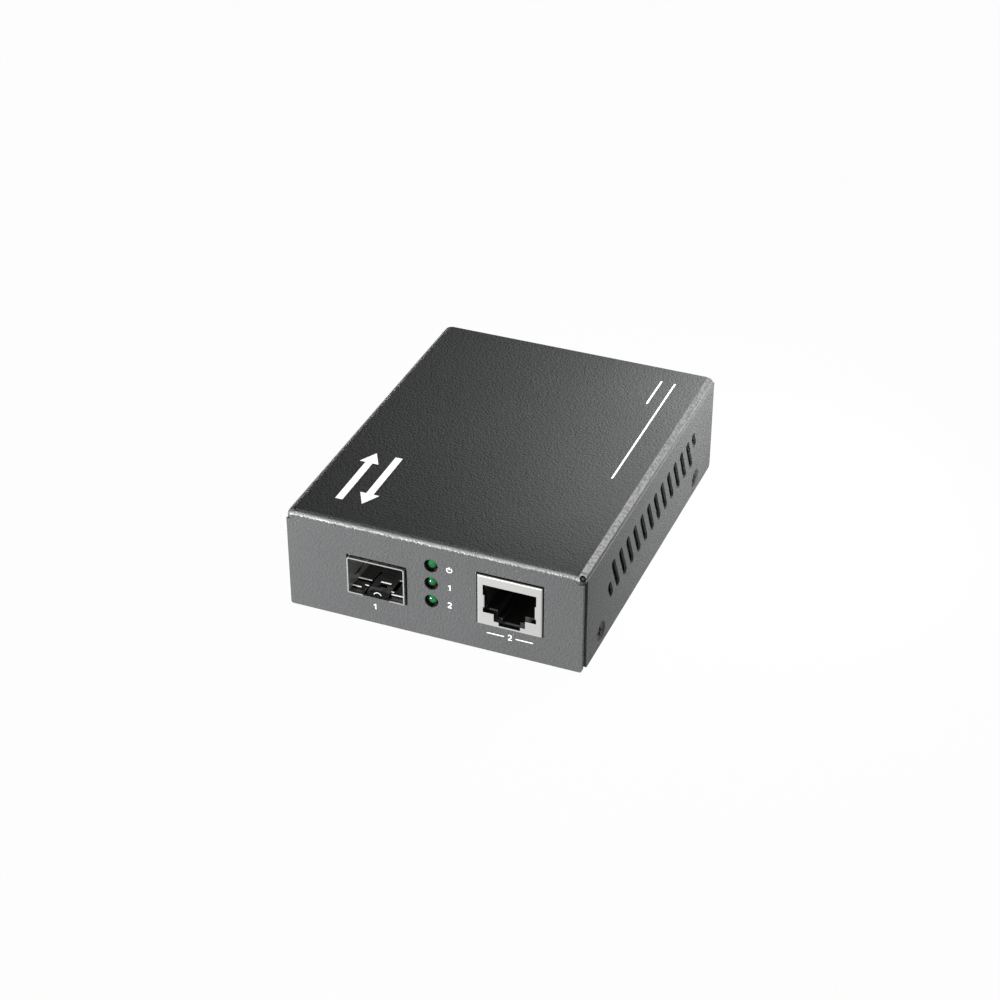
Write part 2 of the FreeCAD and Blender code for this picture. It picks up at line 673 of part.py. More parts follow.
def transceiver_cage():
    """Upper shell of the slot: top, sides and rear, with grounding springs cut from its sides."""
    half = SLOT_WIDTH / 2
    outer = SLOT_BEND + SLOT_SHEET
    left, right = SLOT_X - half, SLOT_X + half
    section = [(left, BOARD_TOP, 0), (left, SLOT_TOP, outer), (right, SLOT_TOP, outer), (right, BOARD_TOP, 0),
               (right - SLOT_SHEET, BOARD_TOP, 0), (right - SLOT_SHEET, SLOT_TOP - SLOT_SHEET, SLOT_BEND),
               (left + SLOT_SHEET, SLOT_TOP - SLOT_SHEET, SLOT_BEND), (left + SLOT_SHEET, BOARD_TOP, 0)]
    shell = [prism(section, "XZ", SLOT_FRONT, SLOT_REAR),
             prism(section[:4], "XZ", SLOT_REAR - SLOT_SHEET, SLOT_REAR)]
    for side, y in slot_pin_places():
        x = SLOT_X + side * (half - SLOT_SHEET / 2)
        pin = rectangle(x - SLOT_SHEET / 2, x + SLOT_SHEET / 2, y - SLOT_PIN / 2, y + SLOT_PIN / 2)
        shell.append(prism(pin, "XY", BOARD_TOP - SLOT_PIN_REACH, BOARD_TOP))
    windows = []
    springs = []
    near = SLOT_FRONT + LANCE_SETBACK
    far = near + LANCE_LENGTH
    for side in (-1, 1):
        wall = [SLOT_X + side * (half - depth) for depth in (0, SLOT_SHEET)]
        for share in LANCE_SHARES:
            low = BOARD_TOP + SLOT_HEIGHT * share
            windows.append(prism(rectangle(near, far, low, low + LANCE_HEIGHT), "YZ", min(wall), max(wall)))
            knee = near + LANCE_LENGTH / 4
            lean = [0, LANCE_REACH, LANCE_REACH / 2]
            near_face = [(wall[0] - side * reach, y) for reach, y in zip(lean, (far, knee, near))]
            far_face = [(wall[1] - side * reach, y) for reach, y in zip(lean, (far, knee, near))]
            blade = sharp(near_face + far_face[::-1])
            springs.append(prism(blade, "XY", low + HOLE_GAP, low + LANCE_HEIGHT - HOLE_GAP))
    return fused([fused(shell).cut(windows)] + springs)


def transceiver_cage_floor():
    """Floor of the slot, with a sprung latch tongue in the notch at its front."""
    half = SLOT_INSIDE - FIT_GAP
    rear = SLOT_FRONT + SLOT_FLOOR_LENGTH
    notch = SLOT_NOTCH_WIDTH / 2
    root = SLOT_FRONT + SLOT_NOTCH_DEPTH
    plan = sharp([(SLOT_X - half, SLOT_FRONT), (SLOT_X - notch, SLOT_FRONT), (SLOT_X - notch, root),
                  (SLOT_X + notch, root), (SLOT_X + notch, SLOT_FRONT), (SLOT_X + half, SLOT_FRONT),
                  (SLOT_X + half, rear), (SLOT_X - half, rear)])
    low, high = BOARD_TOP, BOARD_TOP + SLOT_SHEET
    floor = prism(plan, "XY", low, high)
    tip = SLOT_FRONT + LATCH_TIP
    knee = root - (root - tip) / 3
    crest = tip + (root - tip) / 5
    bends = [(root, 0), (knee, LATCH_RISE), (crest, LATCH_RISE), (tip, LATCH_RISE / 2)]
    profile = sharp([(y, low + rise) for y, rise in bends] + [(y, high + rise) for y, rise in bends[::-1]])
    tongue = prism(profile, "YZ", SLOT_X - LATCH_WIDTH / 2, SLOT_X + LATCH_WIDTH / 2)
    window_near = crest + LATCH_HOLE / 4
    window = [(SLOT_X - LATCH_HOLE / 2, window_near, 0.2), (SLOT_X + LATCH_HOLE / 2, window_near, 0.2),
              (SLOT_X, window_near + LATCH_HOLE, 0.4)]
    return fused([floor, tongue.cut(prism(window, "XY", low, high + 2 * LATCH_RISE))])


def collar_finger(start, middle, end):
    """Half profile of a collar finger: (along the slot, height above the cage)."""
    crest = COLLAR_BULGE - COLLAR_SHEET
    return [(start, COLLAR_SHEET + FIT_GAP), (middle, COLLAR_BULGE + FIT_GAP), (end, COLLAR_SHEET + FIT_GAP),
            (end, FIT_GAP), (middle, crest + FIT_GAP), (start, FIT_GAP)]


def cage_spring_collar():
    """Sprung collar round the cage that grounds it in the cut-out of the front panel."""
    half = SLOT_WIDTH / 2
    inner = half + FIT_GAP
    outer = inner + COLLAR_SHEET
    roof = SLOT_TOP + FIT_GAP
    foot = BOARD_TOP + FIT_GAP
    bend = SLOT_BEND + SLOT_SHEET
    section = [(SLOT_X - outer, foot, 0), (SLOT_X - outer, roof + COLLAR_SHEET, bend + COLLAR_SHEET),
               (SLOT_X + outer, roof + COLLAR_SHEET, bend + COLLAR_SHEET), (SLOT_X + outer, foot, 0),
               (SLOT_X + inner, foot, 0), (SLOT_X + inner, roof, bend), (SLOT_X - inner, roof, bend),
               (SLOT_X - inner, foot, 0)]
    band = PANEL_INSIDE + COLLAR_SETBACK
    solids = [prism(section, "XZ", band, band + COLLAR_BAND)]
    profile = collar_finger(SLOT_FRONT + SLOT_PROUD / 2, FRONT + COVER_SHEET / 2, band)
    across = int((SLOT_WIDTH - 2 * bend) // COLLAR_PITCH)
    for index in range(across):
        x = SLOT_X + (index - (across - 1) / 2) * COLLAR_PITCH
        roof_profile = sharp([(y, SLOT_TOP + rise) for y, rise in profile])
        solids.append(prism(roof_profile, "YZ", x - COLLAR_FINGER / 2, x + COLLAR_FINGER / 2))
    upward = int((SLOT_HEIGHT - bend) // COLLAR_PITCH)
    middle = (BOARD_TOP + SLOT_TOP - bend) / 2
    for side in (-1, 1):
        side_profile = sharp([(SLOT_X + side * (half + rise), y) for y, rise in profile])
        for index in range(upward):
            z = middle + (index - (upward - 1) / 2) * COLLAR_PITCH
            solids.append(prism(side_profile, "XY", z - COLLAR_FINGER / 2, z + COLLAR_FINGER / 2))
    return fused(solids)


def connector_places():
    """Front of the card connector and the middle height of its mouth."""
    front = SLOT_REAR - SLOT_SHEET - 2 * FIT_GAP - CONNECTOR_DEPTH
    return front, BOARD_TOP + CONNECTOR_MOUTH_LIFT + CONNECTOR_MOUTH_HEIGHT / 2


def transceiver_connector():
    """Card-edge connector at the back of the slot."""
    front, middle = connector_places()
    half = CONNECTOR_WIDTH / 2
    chamfer = CONNECTOR_HEIGHT / 5
    profile = sharp([(front, BOARD_TOP), (front, BOARD_TOP + CONNECTOR_HEIGHT - chamfer),
                     (front + chamfer, BOARD_TOP + CONNECTOR_HEIGHT),
                     (front + CONNECTOR_DEPTH, BOARD_TOP + CONNECTOR_HEIGHT),
                     (front + CONNECTOR_DEPTH, BOARD_TOP)])
    body = prism(profile, "YZ", SLOT_X - half, SLOT_X + half)
    reach = CONNECTOR_MOUTH_WIDTH / 2
    rise = CONNECTOR_MOUTH_HEIGHT / 2
    mouth = rectangle(SLOT_X - reach, SLOT_X + reach, middle - rise, middle + rise)
    return body.cut(prism(mouth, "XZ", front, front + CONNECTOR_MOUTH_DEPTH))


def transceiver_contacts():
    """Two rows of contact strips in the mouth of the card connector."""
    front, middle = connector_places()
    rise = CONNECTOR_MOUTH_HEIGHT / 2
    strips = []
    for index in range(CONNECTOR_CONTACT_COUNT):
        x = SLOT_X + (index - (CONNECTOR_CONTACT_COUNT - 1) / 2) * CONNECTOR_PITCH
        for side in (-1, 1):
            root = middle + side * rise
            back = front + CONNECTOR_MOUTH_DEPTH
            profile = [(front + STRIP_SETBACK, root), (back, root), (back, root - side * STRIP_THICK),
                       (front + 2 * STRIP_SETBACK, root - side * STRIP_BULGE)]
            strips.append(prism(sharp(profile), "YZ", x - CONNECTOR_PITCH / 4, x + CONNECTOR_PITCH / 4))
    return strips


def jack_mouth(step):
    """Outline of the network socket, with every side drawn in by the same step."""
    plug, key, clip = (width / 2 - step for width in (PLUG_WIDTH, KEY_WIDTH, CLIP_WIDTH))
    top, ledge, shelf, bottom = (BOARD_TOP + PLUG_HIGH - step, BOARD_TOP + PLUG_LOW + step,
                                 BOARD_TOP + KEY_LOW + step, BOARD_TOP + CLIP_LOW + step)
    half = [(plug, top), (plug, ledge), (key, ledge), (key, shelf), (clip, shelf), (clip, bottom)]
    right = [(JACK_X + x, z) for x, z in half]
    left = [(JACK_X - x, z) for x, z in half[::-1]]
    return sharp(right + left)


def jack_shield():
    """Folded tinned shield of the network jack, open below."""
    def shell(inset, floor):
        half = JACK_WIDTH / 2 - inset
        edge = JACK_EDGE - inset
        near, far, roof = JACK_FRONT + inset, JACK_REAR - inset, JACK_TOP - inset
        plan = [(JACK_X - half, near, edge), (JACK_X + half, near, edge),
                (JACK_X + half, far, edge), (JACK_X - half, far, edge)]
        side = [(near, floor, 0), (far, floor, 0), (far, roof, edge), (near, roof, edge)]
        return prism(plan, "XY", floor, roof).common(prism(side, "YZ", JACK_X - half, JACK_X + half))

    shield = shell(0, BOARD_TOP).cut([shell(JACK_SHEET, BOARD_TOP - JACK_SHEET)])
    shield = shield.cut(prism(jack_mouth(0), "XZ", JACK_FRONT, JACK_FRONT + JACK_SHEET))
    low, high = BOARD_TOP + TAB_LOW, BOARD_TOP + TAB_HIGH
    tabs = []
    for side in (-1, 1):
        root = JACK_X + side * (PLUG_WIDTH / 2 + JACK_SHEET)
        edge = JACK_X + side * (PLUG_WIDTH / 2 - TAB_REACH)
        back = JACK_FRONT + JACK_SHEET + TAB_DEPTH
        fold = [(root, JACK_FRONT, 0), (edge, JACK_FRONT, JACK_SHEET), (edge, back, 0),
                (edge + side * JACK_SHEET, back, 0),
                (edge + side * JACK_SHEET, JACK_FRONT + JACK_SHEET, 0), (root, JACK_FRONT + JACK_SHEET, 0)]
        tabs.append(prism(fold, "XY", low, high))
    return fused([shield] + tabs)


def jack_housing():
    """Moulded body of the network jack, with the plug cavity and a comb for the contacts."""
    half = JACK_WIDTH / 2 - JACK_SHEET - HOUSING_GAP
    roof = JACK_TOP - JACK_SHEET - HOUSING_GAP
    body = prism(rectangle(JACK_X - half, JACK_X + half, BOARD_TOP, roof), "XZ", HOUSING_FRONT, HOUSING_REAR)
    cavity = prism(jack_mouth(HOUSING_STEP), "XZ", HOUSING_FRONT, HOUSING_FRONT + HOUSING_CAVITY)
    grooves = []
    near = HOUSING_FRONT + CONTACT_SETBACK - FIT_GAP
    for x, _ in contact_places():
        reach = CONTACT_WIDTH / 2 + FIT_GAP
        groove = rectangle(x - reach, x + reach, near, HOUSING_REAR)
        grooves.append(prism(groove, "XY", HOUSING_CEILING, HOUSING_CEILING + CONTACT_GROOVE))
    body = body.cut([cavity] + grooves)
    pegs = [rod(PEG_RADIUS, FreeCAD.Vector(x, y, BOARD_BOTTOM), FreeCAD.Vector(0, 0, 1), BOARD_THICK)
            for x, y in jack_peg_places()]
    return fused([body] + pegs)


def jack_contacts():
    """Eight hairpin contacts, each with its spring in the cavity and its tail through the board."""
    contacts = []
    near = HOUSING_FRONT + CONTACT_SETBACK
    under = HOUSING_CEILING + CONTACT_GROOVE - FIT_GAP - CONTACT_THICK
    over = under + CONTACT_THICK
    tip = near + CONTACT_REACH
    low = HOUSING_CEILING - CONTACT_DROP
    foot = BOARD_BOTTOM - CONTACT_TAIL
    for x, tail in contact_places():
        bend = tail + CONTACT_THICK
        profile = [(tail, foot), (bend, foot), (bend, over - CONTACT_THICK), (tail, over), (near, over),
                   (near, under - CONTACT_THICK / 3), (tip, low), (tip, low + CONTACT_THICK),
                   (near + 3 * CONTACT_THICK, under), (tail, under)]
        contacts.append(prism(sharp(profile), "YZ", x - CONTACT_WIDTH / 2, x + CONTACT_WIDTH / 2))
    return contacts


def status_light(height):
    """Domed light with a rim at its back."""
    rim = LIGHT_RADIUS + LIGHT_RIM
    shoulder = LIGHT_LENGTH - LIGHT_RIM_LENGTH
    profile = [(0, 0, 0), (LIGHT_RADIUS, 0, LIGHT_RADIUS), (LIGHT_RADIUS, shoulder, 0), (rim, shoulder, 0),
               (rim, LIGHT_LENGTH, 0), (0, LIGHT_LENGTH, 0)]
    return turned(profile, FreeCAD.Vector(LIGHT_X, LIGHT_TIP, height), FreeCAD.Vector(0, 1, 0))


def light_holder():
    """Moulded block that holds the lights behind the front panel."""
    half = HOLDER_WIDTH / 2
    top = LIGHT_HEIGHTS[0] + half
    body = prism(rectangle(LIGHT_X - half, LIGHT_X + half, BOARD_TOP, top), "XZ", HOLDER_FRONT, HOLDER_REAR)
    back = FreeCAD.Vector(0, 1, 0)
    depth = HOLDER_REAR - HOLDER_FRONT
    pockets = [rod(LIGHT_RADIUS + FIT_GAP, FreeCAD.Vector(LIGHT_X, HOLDER_FRONT, height), back, depth)
               for height in LIGHT_HEIGHTS]
    return body.cut(pockets)


def light_leads():
    """Two bent leads behind each light, down through the board."""
    leads = []
    half = LEAD_SIZE / 2
    foot = BOARD_BOTTOM - LEAD_REACH
    for height, y in light_lead_places():
        profile = [(LIGHT_REAR, height - half), (y - half, height - half), (y - half, foot), (y + half, foot),
                   (y + half, height), (y, height + half), (LIGHT_REAR, height + half)]
        for side in (-1, 1):
            x = LIGHT_X + side * LEAD_SPREAD / 2
            leads.append(prism(sharp(profile), "YZ", x - half, x + half))
    return leads


def inlet_body():
    """Moulded body of the power inlet: square face, round barrel and flat foot."""
    half = INLET_WIDTH / 2
    face = prism(rectangle(INLET_X - half, INLET_X + half, BOARD_TOP, BOARD_TOP + INLET_HEIGHT, 0.4), "XZ",
                 INLET_REAR - INLET_FACE, INLET_REAR)
    foot = prism(rectangle(INLET_X - half, INLET_X + half, BOARD_TOP, INLET_HEIGHT_ABOVE), "XZ",
                 INLET_FRONT, INLET_REAR - INLET_FACE)
    back = FreeCAD.Vector(0, 1, 0)
    start = FreeCAD.Vector(INLET_X, INLET_FRONT, INLET_HEIGHT_ABOVE)
    barrel = rod(INLET_BARREL, start, back, INLET_LENGTH - INLET_FACE)
    body = fused([face, foot, barrel])
    mouth = FreeCAD.Vector(INLET_X, INLET_REAR - INLET_BORE_DEPTH, INLET_HEIGHT_ABOVE)
    cuts = [rod(INLET_BORE, mouth, back, INLET_BORE_DEPTH),
            rod(INLET_PIN + THREAD_GAP, start, back, INLET_LENGTH)]
    reach = TERMINAL_WIDTH / 2 + FIT_GAP
    for y in terminal_places():
        slot = rectangle(INLET_X - reach, INLET_X + reach, y - FIT_GAP, y + TERMINAL_THICK + FIT_GAP)
        cuts.append(prism(slot, "XY", BOARD_TOP, BOARD_TOP + TERMINAL_ROOT))
    return body.cut(cuts)


def inlet_pin():
    """Centre pin of the power inlet."""
    length = INLET_LENGTH - INLET_PIN_SUNK
    tip = INLET_PIN / 2
    profile = sharp([(0, 0), (tip, 0), (INLET_PIN, tip), (INLET_PIN, length), (0, length)])
    start = FreeCAD.Vector(INLET_X, INLET_REAR - INLET_PIN_SUNK, INLET_HEIGHT_ABOVE)
    return turned(profile, start, FreeCAD.Vector(0, -1, 0))


def inlet_terminals():
    """Solder blades below the power inlet."""
    half = TERMINAL_WIDTH / 2
    return [prism(rectangle(INLET_X - half, INLET_X + half, y, y + TERMINAL_THICK), "XY",
                  BOARD_BOTTOM - TERMINAL_REACH, BOARD_TOP + TERMINAL_ROOT - FIT_GAP)
            for y in terminal_places()]


def moulded_chip(size, centre):
    """Chip body whose upper half draws in and whose first corner is cut off."""
    width, depth, height = size
    x, y = centre
    middle = height / 2
    half_u, half_v = width / 2, depth / 2
    low = BOARD_TOP + BODY_LIFT

    def outline(inset, level):
        u, v = half_u - inset, half_v - inset
        points = [(x - u + BODY_NOTCH, y - v), (x + u, y - v), (x + u, y + v), (x - u, y + v),
                  (x - u, y - v + BODY_NOTCH)]
        return rounded_wire(sharp(points), "XY", level)

    levels = [outline(BODY_DRAW, low), outline(0, low + middle), outline(BODY_DRAW, low + height)]
    return Part.makeLoft(levels, True, True)


def gull_leads(size, centre, count, pitch, width):
    """Bent leads along both long sides of a moulded chip."""
    chip_width, _, height = size
    x, y = centre
    exit_low = BOARD_TOP + BODY_LIFT + height / 2 - LEAD_SHEET / 2
    leads = []
    for side in (-1, 1):
        wall = x + side * chip_width / 2
        inner = wall + side * (LEAD_OUT - LEAD_SHEET)
        outer = wall + side * LEAD_OUT
        toe = outer + side * LEAD_FOOT
        profile = sharp([(wall, exit_low), (inner, exit_low), (inner, BOARD_TOP), (toe, BOARD_TOP),
                         (toe, BOARD_TOP + LEAD_SHEET), (outer, BOARD_TOP + LEAD_SHEET),
                         (outer, exit_low + LEAD_SHEET), (wall, exit_low + LEAD_SHEET)])
        for index in range(count):
            near = y + (index - (count - 1) / 2) * pitch - width / 2
            leads.append(prism(profile, "XZ", near, near + width))
    return leads


def crystal():
    """Oval metal can on a thin flange."""
    width, depth, height = CRYSTAL_SIZE
    rim = CRYSTAL_RIM
    flange = block((width, depth, rim), CRYSTAL_PLACE, BOARD_TOP, depth / 2)
    inner = (width - 2 * rim, depth - 2 * rim, height - rim)
    can = block(inner, CRYSTAL_PLACE, BOARD_TOP + rim, depth / 2 - rim)
    return fused([flange, can])


def power_inductor():
    """Shielded coil: a square block with cut corners and a round lid."""
    width, depth, height = INDUCTOR_SIZE
    shoulder = height - INDUCTOR_LID
    body = block((width, depth, shoulder), INDUCTOR_PLACE, BOARD_TOP, INDUCTOR_CORNER)
    x, y = INDUCTOR_PLACE
    start = FreeCAD.Vector(x, y, BOARD_TOP + shoulder)
    cap = rod(width / 2 - INDUCTOR_LID_INSET, start, FreeCAD.Vector(0, 0, 1), INDUCTOR_LID)
    return fused([body, cap])


def smoothing_capacitors():
    """Round cans with a pinched waist, and the square bases that they stand on."""
    cans = []
    bases = []
    radius = CAPACITOR_RADIUS
    first, y = CAPACITOR_ROW
    for index in range(CAPACITOR_COUNT):
        x = first - index * CAPACITOR_PITCH
        side = 2 * (radius + CAPACITOR_WAIST)
        bases.append(block((side, side, CAPACITOR_BASE), (x, y), BOARD_TOP))
        low, top = CAPACITOR_BASE, CAPACITOR_HEIGHT
        profile = [(0, 0), (radius, 0), (radius - CAPACITOR_WAIST, low), (radius, low * 2),
                   (radius, top - CAPACITOR_WAIST), (radius - CAPACITOR_WAIST, top), (0, top)]
        start = FreeCAD.Vector(x, y, BOARD_TOP + CAPACITOR_BASE)
        cans.append(turned(sharp(profile), start, FreeCAD.Vector(0, 0, 1)))
    return cans, bases


def chip_row(size, first):
    """Row of small chip parts."""
    x, y = first
    return [block(size, (x + index * CHIP_ROW_PITCH, y), BOARD_TOP) for index in range(CHIP_ROW_COUNT)]


def build():
    """Make every piece and write one file for each node."""
    keep("cover", cover())
    keep("base_plate", base_plate())
    keep("cover_screws", *cover_screws())
    keep("rubber_feet", *rubber_feet())
    keep("board_standoffs", *board_standoffs())
    keep("board_screws", *board_screws())
    keep("circuit_board", circuit_board())
    keep("transceiver_cage", transceiver_cage())
    keep("transceiver_cage_floor", transceiver_cage_floor())
    keep("cage_spring_collar", cage_spring_collar())
    keep("transceiver_connector", transceiver_connector())
    keep("transceiver_contacts", *transceiver_contacts())
    keep("jack_shield", jack_shield())
    keep("jack_housing", jack_housing())
    keep("jack_contacts", *jack_contacts())
    for name, height in zip(("power_light", "fibre_light", "copper_light"), LIGHT_HEIGHTS):
        keep(name, status_light(height))
    keep("light_holder", light_holder())
    keep("light_leads", *light_leads())
    keep("inlet_body", inlet_body())
    keep("inlet_pin", inlet_pin())
    keep("inlet_terminals", *inlet_terminals())
    keep("network_transformer", moulded_chip(TRANSFORMER_SIZE, TRANSFORMER_PLACE))
    keep("transformer_leads", *gull_leads(TRANSFORMER_SIZE, TRANSFORMER_PLACE, TRANSFORMER_LEAD_COUNT,
                                          TRANSFORMER_PITCH, CHIP_LEAD_WIDTH))
    keep("converter_chip", moulded_chip(CHIP_SIZE, CHIP_PLACE))
    keep("memory_chip", moulded_chip(MEMORY_SIZE, MEMORY_PLACE))
    keep("regulator_chip", moulded_chip(REGULATOR_SIZE, REGULATOR_PLACE))
    small = [gull_leads(size, place, SMALL_LEAD_COUNT, CHIP_LEAD_PITCH, CHIP_LEAD_WIDTH)
             for size, place in ((MEMORY_SIZE, MEMORY_PLACE), (REGULATOR_SIZE, REGULATOR_PLACE))]
    keep("chip_leads", *[lead for leads in small for lead in leads])
    keep("crystal", crystal())
    keep("power_inductor", power_inductor())
    cans, bases = smoothing_capacitors()
    keep("capacitor_cans", *cans)
    keep("capacitor_bases", *bases)
    keep("chip_capacitors", *chip_row(CHIP_CAPACITOR_SIZE, CHIP_CAPACITOR_ROW))
    keep("chip_resistors", *chip_row(CHIP_RESISTOR_SIZE, CHIP_RESISTOR_ROW))
    os.makedirs("parts", exist_ok=True)
    for name, solids in PIECES.items():
        shape = solids[0] if len(solids) == 1 else Part.makeCompound(solids)
        shape.exportStep("parts/" + name + ".step")
        print(name, len(solids), round(sum(solid.Volume for solid in solids), 2))


build()
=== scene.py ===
"""Looks of a small steel converter box: finishes, print, fine pieces, lights and camera.

Lengths are in metres. X runs to the right across the front, Y from the front to the rear, Z up.
"""

import logging
import math
from dataclasses import dataclass, field, replace
from enum import Enum
from typing import ClassVar, Dict, List, Sequence, Tuple, Union

import bmesh
import bpy
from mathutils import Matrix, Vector

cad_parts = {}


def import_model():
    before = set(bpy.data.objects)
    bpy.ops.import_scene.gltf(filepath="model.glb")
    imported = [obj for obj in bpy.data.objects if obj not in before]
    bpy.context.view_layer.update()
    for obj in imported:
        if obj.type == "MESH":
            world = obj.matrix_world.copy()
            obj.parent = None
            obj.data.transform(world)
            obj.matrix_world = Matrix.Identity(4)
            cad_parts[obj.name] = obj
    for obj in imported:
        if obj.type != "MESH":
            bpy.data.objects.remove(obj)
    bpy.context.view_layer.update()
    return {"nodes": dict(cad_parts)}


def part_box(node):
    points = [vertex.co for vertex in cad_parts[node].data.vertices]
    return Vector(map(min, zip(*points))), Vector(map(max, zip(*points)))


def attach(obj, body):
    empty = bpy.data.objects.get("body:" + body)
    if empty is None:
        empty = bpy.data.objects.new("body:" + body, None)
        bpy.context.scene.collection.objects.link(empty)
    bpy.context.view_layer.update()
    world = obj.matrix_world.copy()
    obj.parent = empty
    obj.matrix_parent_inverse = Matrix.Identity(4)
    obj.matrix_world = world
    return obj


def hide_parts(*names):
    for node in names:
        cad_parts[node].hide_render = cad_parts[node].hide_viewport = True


LOG = logging.getLogger("converter")
MM = 0.001

Colour = Tuple[float, float, float]
Point = Tuple[float, float]
Span = Tuple[float, float]
Corner = Tuple[float, float, float]
Fed = Union[float, Colour, bpy.types.NodeSocket]
Ring = Sequence[bmesh.types.BMVert]
Dressing = Dict[str, Tuple[str, ...]]

UNIT: Span = (0.0, 1.0)
FRONT_FACE = -0.04725  # the cover's outer front face
TOP_FACE = 0.027  # the cover's outer top face


class Direction(Enum):
    """Way in which a flat print faces."""

    FRONT = "front"
    TOP = "top"


class Grain(Enum):
    """Way in which brushed lines run over a metal."""

    ALONG_X = (1.0, 14.0, 14.0)
    ALONG_Y = (14.0, 1.0, 14.0)
    ALONG_Z = (14.0, 14.0, 1.0)
    NONE = (1.0, 1.0, 1.0)


# ---- node trees ----


class Wiring:
    """A node tree with short ways to add nodes and to join them."""

    def __init__(self, tree: bpy.types.NodeTree) -> None:
        """Keeps the tree that nodes are added to."""
        self.tree = tree

    def feed(self, socket: bpy.types.NodeSocket, value: Fed) -> None:
        """Gives an input a link, a colour, a direction or a number.

        Args:
            socket: The input.
            value: What it gets.
        """
        if isinstance(value, bpy.types.NodeSocket):
            self.tree.links.new(value, socket)
        else:
            socket.default_value = (*value, 1.0) if socket.type == "RGBA" else value

    def fill(self, node: bpy.types.Node, **values: Fed) -> bpy.types.Node:
        """Feeds the named inputs of a node.

        Args:
            node: The node.
            **values: What they get, with an underscore for each space in a name.

        Returns:
            The node.
        """
        for label, value in values.items():
            self.feed(node.inputs[label.replace("_", " ")], value)
        return node

    def node(self, kind: str, **values: Fed) -> bpy.types.Node:
        """Adds a node, by Blender's name for it, and feeds its named inputs."""
        return self.fill(self.tree.nodes.new(kind), **values)

    def math(self, operation: str, *values: Fed,
             kind: str = "ShaderNodeMath") -> bpy.types.NodeSocket:
        """Joins values with a sum.

        Args:
            operation: Blender's name for it.
            *values: Its inputs in their order.
            kind: Blender's name of the node.

        Returns:
            The result.
        """
        made = self.tree.nodes.new(kind)
        made.operation = operation
        for socket, value in zip(made.inputs, values):
            self.feed(socket, value)
        return made.outputs[0]

    def noise(self, place: Fed, scale: Fed, detail: float,
              roughness: float = 0.5) -> bpy.types.NodeSocket:
        """Adds a noise texture and gives its value, from 0 to 1."""
        made = self.node("ShaderNodeTexNoise", Vector=place, Scale=scale, Detail=detail,
                         Roughness=roughness)
        return made.outputs["Fac"]

    def spread(self, value: Fed, to: Span = UNIT, read: Span = UNIT) -> bpy.types.NodeSocket:
        """Maps a value from the range that is read to another range."""
        made = self.node("ShaderNodeMapRange", Value=value, From_Min=read[0], From_Max=read[1],
                         To_Min=to[0], To_Max=to[1])
        return made.outputs["Result"]

    def band(self, value: Fed, low: float, high: float, soft: float) -> bpy.types.NodeSocket:
        """Makes a mask that is 1 where a value lies between two limits.

        Args:
            value: Socket that is tested.
            low: The lower limit.
            high: The upper limit.
            soft: Half the width of each soft edge.

        Returns:
            The mask.
        """
        rise = self.spread(value, read=(low - soft, low + soft))
        fall = self.spread(value, read=(high + soft, high - soft))
        return self.math("MULTIPLY", rise, fall)

    def mix(self, factor: Fed, first: Fed, second: Fed) -> bpy.types.NodeSocket:
        """Mixes two colours.

        Args:
            factor: Socket or number from 0 to 1.
            first: Socket or colour at 0.
            second: Socket or colour at 1.

        Returns:
            The mixed colour.
        """
        made = self.tree.nodes.new("ShaderNodeMix")
        made.data_type = "RGBA"
        self.feed(made.inputs[0], factor)
        self.feed(made.inputs[6], first)
        self.feed(made.inputs[7], second)
        return made.outputs[2]


